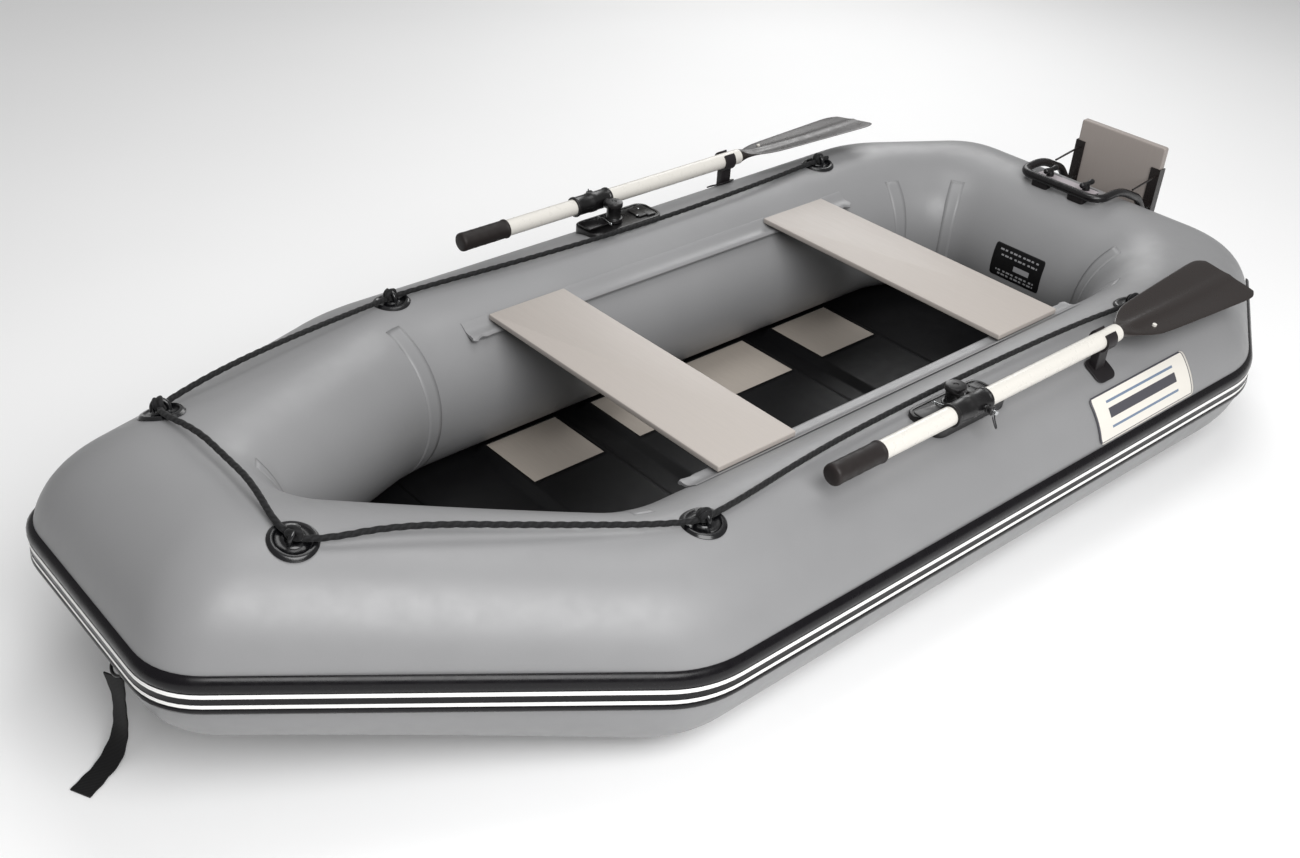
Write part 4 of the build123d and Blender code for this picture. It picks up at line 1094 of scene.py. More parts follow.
        bm = facing(lay_grid(len(xs) - 1, columns, place, measure, (False, False)), Z_AXIS)
        piece = publish(bm, "floor_skin_fabric", "hull", [FLOOR_BLACK], ["floor_skin"], 50)
        thicken(piece, self.skin_cloth, -1.0)

    def build(self) -> None:
        """Builds the floor."""
        self.skin()
        self.mat()


@dataclass
class Seats:
    """The two planks and the fabric rails whose beads they slide on."""

    plan_radius: float = 3.0 * MM
    edge_radius: float = 2.2 * MM
    flap: Profile = (
        (57, 0.1), (56.6, 0.7), (54, 0.8), (52, 1.0), (50.4, 1.6), (48.8, 3.6), (47, 8.0), (45.6, 13.0),
        (44.3, 15.4), (42.9, 14.6), (42.4, 11.5), (43.2, 8.4), (44.6, 7.2), (46, 4.0), (47.5, 0.2),
        (52, 0.1), (56, 0.1),
    )
    curl: float = 5.0 * MM
    curl_reach: float = 0.05
    curl_length: float = 0.016
    step: float = 0.008

    def board(self, name: str, finish: Any) -> None:
        """A plank with softened edges."""
        low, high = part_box(name)
        bm = block(low, high, self.plan_radius, self.edge_radius)
        publish(bm, f"{name}_board", name, [finish], [name])

    def rail(self, side: Side) -> Any:
        """One flap: glued strip, tongue and bead, its ends left loose and wavy."""
        low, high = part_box("seat_rails")
        rows = round((high.x - low.x) / self.step)
        sides = len(self.flap)

        def place(row: int, column: int) -> Vector:
            degrees, proud = self.flap[column % sides]
            x = low.x + (high.x - low.x) * row / rows
            near = min(x - low.x, high.x - x)
            loose = max(0.0, 1 - near / self.curl_reach) * max(0.0, proud - 3) / 12
            wave = math.sin(near / self.curl_length * math.pi) * self.curl * loose
            angle = math.radians(degrees) - wave / RING.radius
            return RING.side_point(x, angle, RING.radius + proud * MM + wave * 0.4, True)

        def measure(row: int, column: int) -> tuple[float, float]:
            return row * self.step, math.radians(self.flap[column % sides][0]) * RING.radius

        return moved(capped(lay_grid(rows, sides, place, measure, (False, True))), across(side))

    def build(self) -> None:
        """Builds the seats."""
        for name in ("front_seat", "rear_seat"):
            self.board(name, SEAT_PAINT)
            dress(f"{name}_slides", SLIDE_METAL)
            dress(f"{name}_screws", STEEL)
        rails = together(*[self.rail(side) for side in Side])
        publish(rails, "seat_rail_flaps", "hull", [HULL_GREY], ["seat_rails"], 40)


@dataclass
class Oarlock:
    """One oarlock: its base on the tube's crown, lever, turret, cross pin and spring clip."""

    side: Side
    rim: float = 4.0 * MM
    lever_rise: float = 3.0 * MM
    wire: float = 1.25 * MM
    pin_radius: float = 5.0
    turret: Profile = (
        (0, 0.5), (20.5, 0.5), (21, 1.2), (21, 7.5), (20.2, 8.6), (17.5, 9.2), (16.4, 11), (16.2, 33),
        (17.2, 35), (19.6, 36), (20, 37), (20, 44), (18.8, 46.2), (16, 47), (6, 47), (5.2, 45.6), (0, 45.6),
    )
    nub: Profile = (
        (0, 0), (8.2, 0), (9, 0.8), (9, 4), (7.6, 5), (7.6, 9), (9, 10), (9, 13), (8, 14), (0, 14),
    )
    dome: Profile = ((0, 0), (6.2, 0), (6.4, 1.0), (5.2, 3.6), (2.6, 5.0), (0, 5.3))
    rivet: Profile = ((0, 0), (3.0, 0), (2.8, 1.0), (1.6, 1.8), (0, 2.0))
    ball: Profile = ((0, -2.6), (1.6, -2.1), (2.6, 0), (1.6, 2.1), (0, 2.6))
    boss: Profile = ((0, 0), (11, 0), (11, 12.5), (10.2, 13.6), (6, 13.6), (0, 13.6))
    dome_spots: Profile = ((0.026, 0.016), (0.052, 0.014))
    steps: Profile = ((0.030, 0.056), (0.052, 0.044))
    step_length: float = 0.024
    step_height: float = 4.2 * MM
    rivet_spots: Profile = ((0.034, 0.012), (0.060, -0.014))
    bail_reach: float = 0.022
    boss_offset: float = 12.8 * MM

    def joint(self, name: str) -> Vector:
        """Where a joint of this side sits."""
        full = f"{name}_{self.side.tag}"
        return Vector(next(j["pos_m"] for j in frame["joints"] if j["name"] == full))

    def port(self, point: Vector) -> Vector:
        """A point of this side brought to port."""
        return Vector((point.x, abs(point.y), point.z))

    def base(self) -> None:
        """The base: a rimmed plate with two lock domes and a stepped end."""
        node = f"oarlock_base_{self.side.tag}"
        low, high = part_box(node)
        top = self.port(self.joint("oar_swing")).z
        y_low, y_high = reach_of(low, high)
        bm = block((low.x, y_low, low.z), (high.x, y_high, top), 24 * MM, 2.4 * MM)
        lid = max(bm.faces, key=lambda f: (f.normal.z > 0.9) * f.calc_area())
        bmesh.ops.inset_region(bm, faces=[lid], thickness=self.rim, depth=0.0)
        bmesh.ops.inset_region(bm, faces=[lid], thickness=0.8 * MM, depth=-1.4 * MM)
        parts = [bm]
        middle = (y_low + y_high) / 2
        for back, inward in self.dome_spots:
            parts.append(upright(self.dome, 20, (high.x - back, y_high - inward, top - 1.5 * MM)))
        for ahead, width in self.steps:
            corner = Vector((low.x + ahead - 0.016, middle - width / 2, top - 2 * MM))
            size = Vector((self.step_length, width, self.step_height))
            parts.append(block(corner, corner + size, 4 * MM, 1.2 * MM))
        whole = moved(together(*parts), across(self.side))
        publish(whole, f"{node}_moulding", "hull", [LOCK_BLACK], [node])
        places = [(low.x + x, middle + y, top + 2.0 * MM) for x, y in self.rivet_spots]
        rivets = together(*[upright(self.rivet, 16, place) for place in places])
        publish(moved(rivets, across(self.side)), f"oarlock_rivets_{self.side.tag}", "hull", [STEEL])

    def latch(self) -> None:
        """The thumb lever, wider at the thumb and dished, and the wire bail that springs it."""
        node, body = f"oarlock_latch_{self.side.tag}", f"latch_{self.side.tag}"
        low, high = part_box(node)
        y_low, y_high = reach_of(low, high)
        middle = (y_low + y_high) / 2
        bm = block((low.x, y_low, low.z), (high.x, y_high, high.z), 9 * MM, 1.3 * MM)
        long_edges = [e for e in bm.edges if e.calc_length() > 20 * MM]
        bmesh.ops.subdivide_edges(bm, edges=long_edges, cuts=7, use_grid_fill=True)
        for vertex in bm.verts:
            along = (vertex.co.x - low.x) / (high.x - low.x)
            vertex.co.y = middle + (vertex.co.y - middle) * (0.72 + 0.28 * along)
            dish = 1 - ((vertex.co.y - middle) / (y_high - middle)) ** 2
            vertex.co.z += self.lever_rise * along**2 - 0.9 * MM * dish * along
        lever = moved(bm, across(self.side))
        publish(lever, f"oarlock_lever_{self.side.tag}", body, [LOCK_BLACK], [node], 50)
        x, rise, reach = low.x - 2.0 * MM, low.z + 3.4 * MM, self.bail_reach
        points = [
            (x + 0.004, middle - reach, rise),
            (x + 0.008, middle - reach * 0.5, rise + 3.6 * MM),
            (x + 0.004, middle, rise + 4.6 * MM),
            (x + 0.008, middle + reach * 0.5, rise + 3.6 * MM),
            (x + 0.004, middle + reach, rise),
        ]
        bar = rod(route_points(points, 8), self.wire, 10, Z_AXIS)
        ends = [upright(self.ball, 14, points[k]) for k in (0, -1)]
        bail = moved(together(bar, *ends), across(self.side))
        publish(bail, f"oarlock_bail_{self.side.tag}", body, [STEEL], (), 50)

    def turret_and_pin(self) -> None:
        """The turret with its boss, the pin through the collar, its nub and the spring clip."""
        swing, lift = self.port(self.joint("oar_swing")), self.port(self.joint("oar_lift"))
        tag, body = self.side.tag, f"turret_{self.side.tag}"
        start = Vector((swing.x, swing.y + self.boss_offset, lift.z))
        boss = moved(turned(self.boss, 28), frame_at(start, Y_AXIS, X_AXIS))
        post = moved(together(upright(self.turret, 40, swing), boss), across(self.side))
        node = f"oarlock_turret_{tag}"
        publish(post, f"{node}_moulding", body, [LOCK_BLACK], [node])
        node = f"oar_pin_{tag}"
        near, far = reach_of(*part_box(node))
        r, length = self.pin_radius, (far - near) / MM
        pin = turned([(0, 0), (r, 0), (r, length - 1), (r - 1, length), (0, length)], 24)
        pin = moved(pin, frame_at(Vector((lift.x, near, lift.z)), Y_AXIS, X_AXIS))
        publish(moved(pin, across(self.side)), f"{node}_shank", body, [STEEL], [node])
        seat = Vector((lift.x, far - 22 * MM, lift.z))
        nub = moved(turned(self.nub, 32), frame_at(seat, Y_AXIS, X_AXIS))
        publish(moved(nub, across(self.side)), f"{node}_nub", body, [LOCK_BLACK])
        self.spring_clip(Vector((lift.x, far - 4 * MM, lift.z)), body)

    def spring_clip(self, eye: Vector, body: str) -> None:
        """The wire clip: a straight leg through the pin and a sprung leg that curls back over it."""
        tail = Vector((-10, 4, -26)) * MM
        apart = Vector((4.4, 0.8, 0)) * MM
        foot = eye + Vector((0, 0, -10)) * MM
        points = [
            eye + Vector((0, 0, 10)) * MM,
            eye,
            foot,
            foot + tail * 0.45,
            foot + tail * 0.86,
            foot + tail * 1.0 + apart * 0.5,
            foot + tail * 0.86 + apart,
            foot + tail * 0.45 + apart * 1.3,
            foot + apart * 1.5 + Vector((0, 0, 1)) * MM,
            foot + apart * 2 + Vector((0, 0, 5)) * MM,
        ]
        node = f"oar_pin_clip_{self.side.tag}"
        wire = moved(rod(route_points(points, 10), self.wire, 10, X_AXIS), across(self.side))
        publish(wire, f"{node}_wire", body, [SPRING_STEEL], [node], 60)

    def build(self) -> None:
        """Builds the oarlock."""
        self.base()
        self.latch()
        self.turret_and_pin()


@dataclass
class Oar:
    """One stowed oar: shaft, grip, collar and blade, and the rubber clip that holds it."""

    side: Side
    grip: Profile = (
        (18.1, 0), (20.6, 0), (21.2, 1.2), (21.2, 4.5), (20.4, 6), (19.9, 9), (19.9, 34), (20.3, 38),
        (19.9, 42), (19.9, 58), (20.3, 62), (19.9, 66), (19.9, 82), (20.3, 86), (19.9, 90), (20, 106),
        (20.5, 112), (20.5, 116), (19.4, 119.6), (16.5, 121.6), (6, 122), (0, 122),
    )
    collar: Profile = (
        (18.1, 0), (21.6, 0), (22.6, 0.6), (23, 1.8), (23, 5.5), (22, 7), (21.4, 9), (21.4, 40),
        (22.6, 43), (22.6, 57), (21.4, 60), (21.4, 91), (22, 93), (23, 94.5), (23, 98.2), (22.6, 99.4),
        (21.6, 100), (18.1, 100),
    )
    bore: float = 18.1
    outline: Profile = (
        (0.0, 17.5), (0.03, 18.0), (0.10, 31.0), (0.16, 43.0), (0.215, 50.5), (0.30, 55.0), (0.6, 65.0),
        (0.86, 73.0), (0.925, 74.0), (0.965, 71.5), (1.0, 62.0),
    )
    blade_rows: int = 44
    blade_columns: int = 20
    tilt: float = 10.0
    scoop: float = 7.0
    thick: float = 4.0
    eye: Profile = ((3.0, -4.4), (4.4, -4.2), (4.6, 0), (4.4, 4.2), (3.0, 4.4))
    clip_wide: float = 30 * MM
    prong_inner: float = 18.4 * MM
    prong_wall: float = 5.0 * MM
    prong_reach: float = 146.0
    stem_half: float = 9 * MM
    pad_span: tuple[float, float] = (-0.018, 0.038)

    def axis(self) -> tuple[float, float]:
        """The shaft's Y, on port, and Z."""
        low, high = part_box(f"oar_shaft_{self.side.tag}")
        return abs(low.y + high.y) / 2, (low.z + high.z) / 2

    def sleeve(self, part: str, profile: Sequence[tuple[float, float]], finish: Any) -> None:
        """A turned piece along the shaft, its profile running to the bow."""
        node = f"oar_{part}_{self.side.tag}"
        low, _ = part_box(node)
        y, z = self.axis()
        through = profile[-1][0] > 1
        bm = turned(list(profile) + ([(self.bore, profile[-1][1])] if through else []), 48)
        if through:
            bmesh.ops.delete(bm, geom=[f for f in bm.faces if len(f.verts) > 8], context="FACES_ONLY")
        bm = moved(moved(bm, frame_at(Vector((low.x, y, z)), X_AXIS, Z_AXIS)), across(self.side))
        publish(bm, f"{node}_moulding", f"oar_{self.side.tag}", [finish], [node], 40)

    def blade(self) -> None:
        """The blade: a socket that flattens into a scooped, ridged panel with cut-off tip corners."""
        node, body = f"oar_blade_{self.side.tag}", f"oar_{self.side.tag}"
        y, z = self.axis()
        root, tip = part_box(f"oar_shaft_{self.side.tag}")[0].x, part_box(node)[0].x

        def half(share: float) -> float:
            for (a, wa), (b, wb) in zip(self.outline, self.outline[1:]):
                if share <= b:
                    return (wa + (wb - wa) * (share - a) / (b - a)) * MM
            return self.outline[-1][1] * MM

        def section(share: float, across_share: float, upper: bool) -> float:
            flat = 1 - max(0.0, 1 - share / 0.13) ** 2
            round_z = 18.0 * math.sqrt(max(0.0, 1 - across_share**2))
            ridge = 11.0 * (1 - 0.75 * share) * math.exp(-((across_share * half(share) / MM / 9.0) ** 2))
            scoop = -self.scoop * math.sin(math.pi * min(1.0, share)) * (1 - across_share**2) * 0.6
            plate = self.thick / 2 * math.sqrt(max(0.0, 1 - across_share**8))
            face = plate + ridge * (0.75 if upper else 0.6)
            sign = 1 if upper else -1
            return (sign * (round_z * (1 - flat) + face * flat) + scoop * flat) * MM

        total = 2 * self.blade_columns

        def place(row: int, column: int) -> Vector:
            share = row / self.blade_rows
            column %= total
            upper = column <= self.blade_columns
            step = column if upper else total - column
            across_share = math.cos(math.pi * step / self.blade_columns)
            x = root + (tip - root) * share
            return Vector((x, half(share) * across_share, section(share, across_share, upper)))

        def measure(row: int, column: int) -> tuple[float, float]:
            return row * 10 * MM, column * 5 * MM

        stand = Matrix.Translation((0, y, z)) @ Matrix.Rotation(math.radians(-self.tilt), 4, "X")
        bm = moved(capped(lay_grid(self.blade_rows, total, place, measure, (False, True))), stand)
        blade = moved(bm, across(self.side))
        publish(blade, f"{node}_moulding", body, [BLADE_BLACK], [node], 50)
        hole = Vector((root - 98 * MM, 26 * MM, 0))
        bushing = moved(turned(self.eye, 20), stand @ Matrix.Translation(hole))
        publish(moved(bushing, across(self.side)), f"{node}_eye", body, [SHAFT_WHITE])

    def clip(self) -> None:
        """The rubber clip: a rounded pad on the tube, a stem and two prongs round the shaft."""
        node = f"oar_clip_{self.side.tag}"
        low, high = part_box(node)
        y, z = self.axis()
        middle = (low.x + high.x) / 2
        wide, inner = self.clip_wide, self.prong_inner
        prongs = bmesh.new()
        prongs.loops.layers.uv.new("cut")
        base = Matrix.Translation((middle - wide / 2, y, z))
        spots = [(x, 0, -r) for x in (0, wide) for r in (inner, inner + self.prong_wall)]
        corners = [prongs.verts.new(base @ Vector(spot)) for spot in spots]
        start = prongs.faces.new([corners[0], corners[1], corners[3], corners[2]])
        copy = bmesh.ops.duplicate(prongs, geom=[start])["geom"]
        sweep = {"cent": (0, y, z), "axis": (1, 0, 0), "steps": 22}
        for geom, way in ((copy, 1), ([start], -1)):
            bmesh.ops.spin(prongs, geom=geom, angle=way * math.radians(self.prong_reach), **sweep)
        bmesh.ops.remove_doubles(prongs, verts=prongs.verts[:], dist=1e-6)
        level = [f for f in prongs.faces if abs(f.normal.y) > 0.99]
        inside = [f for f in level if abs(f.calc_center_median().y - y) < 1e-5]
        bmesh.ops.delete(prongs, geom=inside, context="FACES")
        bmesh.ops.recalc_face_normals(prongs, faces=prongs.faces[:])
        lean = math.asin((y - RING.corner(1).y) / RING.radius)
        up = math.pi / 2 - lean
        foot = RING.side_point(middle, up, RING.radius, False)
        stem_low = (middle - wide / 2, y - self.stem_half, foot.z - 6 * MM)
        stem_high = (middle + wide / 2, y + self.stem_half, z - inner - 1 * MM)
        stem = block(stem_low, stem_high, 2 * MM, 1.5 * MM)
        near, far = self.pad_span
        pad = block((low.x, near, 0.2 * MM), (high.x, far, 3.2 * MM), 16 * MM, 1.2 * MM)
        long_edges = [e for e in pad.edges if e.calc_length() > 12 * MM]
        bmesh.ops.subdivide_edges(pad, edges=long_edges, cuts=7, use_grid_fill=True)
        for vertex in pad.verts:
            x, s, h = vertex.co
            vertex.co = RING.side_point(x, up - s / RING.radius, RING.radius + h, False)
        whole = moved(together(prongs, stem, pad), across(self.side))
        publish(whole, f"{node}_moulding", "hull", [RUBBER_BLACK], [node], 40)

    def build(self) -> None:
        """Builds the oar and its clip."""
        self.sleeve("grip", self.grip, GRIP_BLACK)
        self.sleeve("collar", self.collar, LOCK_BLACK)
        self.blade()
        self.clip()
        dress(f"oar_shaft_{self.side.tag}", SHAFT_WHITE)


@dataclass
class GrabLine:
    """The six eyelets on the tubes and the braided line through them."""

    rope_radius: float = 5.6 * MM
    sides: int = 18
    pitch: float = 0.024
    patch: Profile = (
        (0, 1.4), (9.5, 1.4), (11, 2.2), (12.4, 4.6), (15.6, 4.9), (17.4, 3.0), (19, 2.4), (27.5, 2.2),
        (29, 3.2), (30.6, 4.7), (34.4, 5.0), (36.6, 4.2), (38.6, 2.0), (40, 0.9), (40, 0.1), (0, 0.1),
    )
    loop_radius: float = 14.0 * MM
    rod_radius: float = 4.5 * MM
    leg: float = 8.3 * MM
    hitch_turns: float = 1.6
    hitch_steps: int = 44
    hitch_start: float = 2.2
    hitch_radius: float = 9.5 * MM
    hitch_swell: float = 1.2 * MM
    hitch_width: float = 13.0
    hitch_drop: float = 3 * MM
    port_route: tuple[Triple, ...] = (
        (-0.779, 0.452, 0.3791), (-0.715, 0.452, 0.3791), (-0.56, 0.438, 0.3799), (-0.3, 0.43, 0.3779),
        (-0.06, 0.43, 0.3779), (0.2, 0.44, 0.3809), (0.4702, 0.468, 0.3785), (0.5378, 0.4612, 0.3789),
        (0.76, 0.372, 0.424), (0.96, 0.283, 0.463), (1.0985, 0.2375, 0.4637), (1.1249, 0.1992, 0.4754),
        (1.108, 0.09, 0.492),
    )
    middle: Triple = (1.104, 0.0, 0.486)
    seats: tuple[tuple[int, Triple, Triple, Triple], ...] = (
        (0, (1.112, 0.2159, 0.4608), (-0.0293, 0.2744, 0.9612), (0.5513, -0.7976, 0.2445)),
        (1, (0.504, 0.464, 0.3696), (0.0, 0.0649, 0.9979), (0.9951, -0.0991, 0.0064)),
        (1, (-0.745, 0.452, 0.37), (0.0, 0.0, 1.0), (1.0, 0.0, 0.0)),
    )

    def eyelet(self, panel: int, point: Vector, normal: Vector, way: Vector) -> Any:
        """An eyelet: a dished patch bent to the tube, and the loop that stands on it."""
        seat = frame_at(point, normal, way)
        along = RING.heading(panel)
        disc = turned(self.patch, 48)
        for vertex in disc.verts:
            flat = seat.to_3x3() @ Vector((vertex.co.x, vertex.co.y, 0))
            aside = (flat - along * flat.dot(along)).length
            vertex.co.z -= aside**2 / (2 * RING.radius)
        moved(disc, seat)
        size = self.loop_radius
        points = [(-size, 1 * MM), *arch(size, size, self.leg, 16), (size, 1 * MM)]
        loop = rod([Vector((0, y, z)) for y, z in points], self.rod_radius, 16, X_AXIS)
        return together(disc, moved(loop, seat))

    def hitch(self, point: Vector, normal: Vector, way: Vector, side: Side) -> Any:
        """A turn and a half of the line round an eyelet's loop, drawn up into a knot."""
        seat = frame_at(point, normal, way)
        centre = Vector((0, 0, self.leg + self.loop_radius - self.hitch_drop))
        steps = self.hitch_steps
        path = []
        for k in range(steps + 1):
            angle = math.tau * self.hitch_turns * k / steps - self.hitch_start
            swell = self.hitch_radius + self.hitch_swell * math.sin(angle * 0.7)
            x, y = math.cos(angle) * swell, (k / steps - 0.5) * self.hitch_width * MM
            path.append(seat @ (centre + Vector((x, y, math.sin(angle) * swell * 0.8 - 4 * MM))))
        return moved(tube_mesh(path, self.braid, 14, Y_AXIS), across(side))

    def braid(self, run: float, angle: float) -> float:
        """The line's radius at a length and an angle, with its crossing strands standing proud."""
        a = math.sin(3 * angle + math.tau * run / self.pitch)
        b = math.sin(3 * angle - math.tau * run / self.pitch)
        return self.rope_radius * (0.9 + 0.1 * max(a, b))

    def build(self) -> None:
        """Builds the eyelets and the line."""
        parts, knots = [], []
        for side in Side:
            for panel, *rest in self.seats:
                point, normal, way = [Vector(v) for v in rest]
                parts.append(moved(self.eyelet(panel, point, normal, way), across(side)))
                knots.append(self.hitch(point, normal, way, side))
        eyelets = together(*parts)
        publish(eyelets, "rope_eyelets_moulded", "hull", [EYELET_BLACK], ["rope_eyelets"], 40)
        mirrored = [(x, -y, z) for x, y, z in reversed(self.port_route)]
        line = route_points([*self.port_route, self.middle, *mirrored], 64)
        rope = tube_mesh(line, self.braid, self.sides, Z_AXIS)
        publish(rope, "grab_line_braided", "hull", [ROPE_BLACK], ["grab_line"], 60)
        publish(together(*knots), "grab_line_hitches", "hull", [ROPE_BLACK], (), 60)


@dataclass
class Bracket:
    """The outboard bracket over the stern: board, frame, saddle blocks and clamp screws."""

    board_radius: float = 6.0 * MM
    board_edge: float = 3.2 * MM
    block_inner: float = 29 * MM
    hub: Profile = (
        (0, -12), (5, -12), (5, 0), (9, 0.4), (9.4, 3), (9.4, 9), (8, 12), (7, 20), (0, 20.5),
    )
    lobe: Profile = (
        (0, -26), (3.6, -25.4), (6.2, -23), (7.2, -19), (6.6, -13), (5.2, -7), (5.0, 0),
        (5.2, 7), (6.6, 13), (7.2, 19), (6.2, 23), (3.6, 25.4), (0, 26),
    )

    def board(self) -> None:
        """The plywood board with rounded corners and eased edges."""
        low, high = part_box("motor_board")
        bm = block(low, high, self.board_radius, self.board_edge, 0)
        # Its paint is the seat paint darkened: painted shade on the upright board.
        publish(bm, "motor_board_painted", "hull", [BOARD_PAINT_WITH_PAINTED_SHADE], ["motor_board"])

    def blocks(self) -> None:
        """The two rubber saddle blocks between the hoop and the tube."""
        low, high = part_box("bracket_blocks")
        parts = []
        for side in Side:
            bm = block((low.x, self.block_inner, low.z), (high.x, high.y, high.z), 8 * MM, 3 * MM)
            parts.append(moved(bm, across(side)))
        pair = together(*parts)
        publish(pair, "bracket_saddle_blocks", "hull", [RUBBER_BLACK], ["bracket_blocks"])

    def clamp(self, side: Side) -> None:
        """A clamp screw: hub and two-lobed handle."""
        name = f"clamp_screw_{side.tag}"
        low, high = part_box(name)
        middle = (low + high) / 2
        stand = upright(self.hub, 28, (middle.x, middle.y, high.z - 25 * MM))
        at = Vector((middle.x, middle.y, high.z - 6.0 * MM))
        bar = moved(turned(self.lobe, 24), frame_at(at, X_AXIS, Z_AXIS))
        publish(together(stand, bar), f"{name}_handle", name, [LOCK_BLACK], [name])

    def build(self) -> None:
        """Builds the bracket."""
        self.board()
        self.blocks()
        for side in Side:
            self.clamp(side)
        for node in ("bracket_hoop", "bracket_uprights", "bracket_braces"):
            dress(node, BRACKET_BLACK)
        dress("bracket_bolts", STEEL)
        dress("bracket_tie_plate", TIE_GREY)


@dataclass
class Valves:
    """The two inflation valves on the inner side of the side tubes."""

    cap: Profile = (
        (0, -7), (11.6, -7), (11.6, 0.2), (16.2, 0.4), (17, 1.4), (17, 4.6), (16, 6), (12.6, 6.4),
        (12, 5.2), (0, 5.0),
    )

    def build(self) -> None:
        """Builds the caps with their turning ridge."""
        for side in Side:
            node = f"valve_cap_{side.tag}"
            joint = next(j for j in frame["joints"] if j["name"] == f"valve_cap_turn_{side.tag}")
            normal = Vector(joint["axis"])
            low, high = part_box(node)
            middle = (low + high) / 2
            seat = frame_at(middle - normal * 2.4 * MM, normal, X_AXIS)
            ridge = block((-0.013, -0.0025, 4.6 * MM), (0.013, 0.0025, 10.4 * MM), 1.2 * MM, 0.8 * MM)
            cap = together(moved(turned(self.cap, 36), seat), moved(ridge, seat))
            publish(cap, f"{node}_moulding", node, [LOCK_BLACK], [node])
        dress("valve_bodies", LOCK_BLACK)


@dataclass
class Labels:
    """The printed films: a bordered label on each side and a small plate inside the stern."""

    angles: tuple[float, float] = (17.0, 47.0)
    plate_angles: tuple[float, float] = (-6.0, 20.0)
    lift: float = 0.7 * MM
    film_thick: float = 0.4 * MM
    corner: float = 0.14
    rows: int = 44
    columns: int = 22

    def squeeze(self, share: float) -> float:
        """How much shorter a label's row is near its rounded corners, for a share across of 0 to 1."""
        edge = min(share, 1 - share)
        if edge >= self.corner:
            return 1.0
        return 1 - 0.06 * (1 - math.sqrt(1 - (1 - edge / self.corner) ** 2))

    def film(self, place: Callable[[float, float], Vector], ink: Callable[[int, int], int]) -> Any:
        """A film laid by shares of its length and width.

        Args:
            place: Where a share along and a share across lie.
            ink: The finish number of a cell.

        Returns:
            The new mesh.
        """
        marks = [0.0, 0.016, 0.024] + [0.04 + 0.92 * k / (self.rows - 6) for k in range(self.rows - 5)]
        along = marks + [0.976, 0.984, 1.0]
        rise = [0.0, 0.035, 0.052] + [0.08 + 0.84 * k / (self.columns - 6) for k in range(self.columns - 5)]
        up = rise + [0.948, 0.965, 1.0]

        def spot(row: int, column: int) -> Vector:
            short = self.squeeze(up[column])
            return place(0.5 + (along[row] - 0.5) * short, up[column])

        def measure(row: int, column: int) -> tuple[float, float]:
            return float(row), float(column)

        bm = lay_grid(len(along) - 1, len(up) - 1, spot, measure, (False, False))
        cut = bm.loops.layers.uv["cut"]
        for face in bm.faces:
            row = int(min(loop[cut].uv.x for loop in face.loops))
            column = int(min(loop[cut].uv.y for loop in face.loops))
            face.material_index = ink(row, column)
        return bm

    def side_ink(self, row: int, column: int) -> int:
        """A dark border line, one broad bar and two thin ones."""
        last_row, last_column = self.rows - 1, self.columns - 1
        border = row in (1, last_row) or column in (1, last_column)
        inside = 1 <= row <= last_row and 1 <= column <= last_column
        if border and inside:
            return 1
        if 8 <= row <= self.rows - 8 and 10 <= column <= 13:
            return 1
        if 8 <= row <= self.rows - 8 and column in (6, 16):
            return 2
        return 0

    def plate_ink(self, row: int, column: int) -> int:
        """A grey block over thin broken lines."""
        block = 8 <= column <= 10 and 20 <= row <= 32
        line = column in (3, 5, 14, 17) and 5 < row < 38 and (row * 3 + column * 5) % 11 > 3
        return int(block or line)

    def build(self) -> None:
        """Builds the films."""
        low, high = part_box("side_labels")
        a, b = [math.radians(v) for v in self.angles]
        parts = []
        for side in Side:
            def place(along: float, up: float) -> Vector:
                x = low.x + (high.x - low.x) * along
                return RING.side_point(x, a + (b - a) * up, RING.radius + self.lift, False)

            bm = moved(self.film(place, self.side_ink), across(side))
            bmesh.ops.recalc_face_normals(bm, faces=bm.faces[:])
            parts.append(facing(bm, Y_AXIS * side.value))
        inks = [FILM_WHITE, FILM_INK, FILM_SLATE]
        films = together(*parts)
        label = publish(films, "side_labels_film", "hull", inks, ["side_labels"], 60)
        plate_low, plate_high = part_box("data_plate")
        axis = RING.corner(3)
        c, d = [math.radians(v) for v in self.plate_angles]

        def seat(along: float, up: float) -> Vector:
            angle = c + (d - c) * up
            reach = RING.radius + self.lift
            y = plate_low.y + (plate_high.y - plate_low.y) * along
            return Vector((axis.x + reach * math.cos(angle), y, RING.radius + reach * math.sin(angle)))

        bm = facing(self.film(seat, self.plate_ink), X_AXIS)
        inks = [FILM_BLACK, FILM_PRINT]
        plate = publish(bm, "data_plate_film", "hull", inks, ["data_plate"], 60)
        for piece in (label, plate):
            thicken(piece, self.film_thick, -1.0)


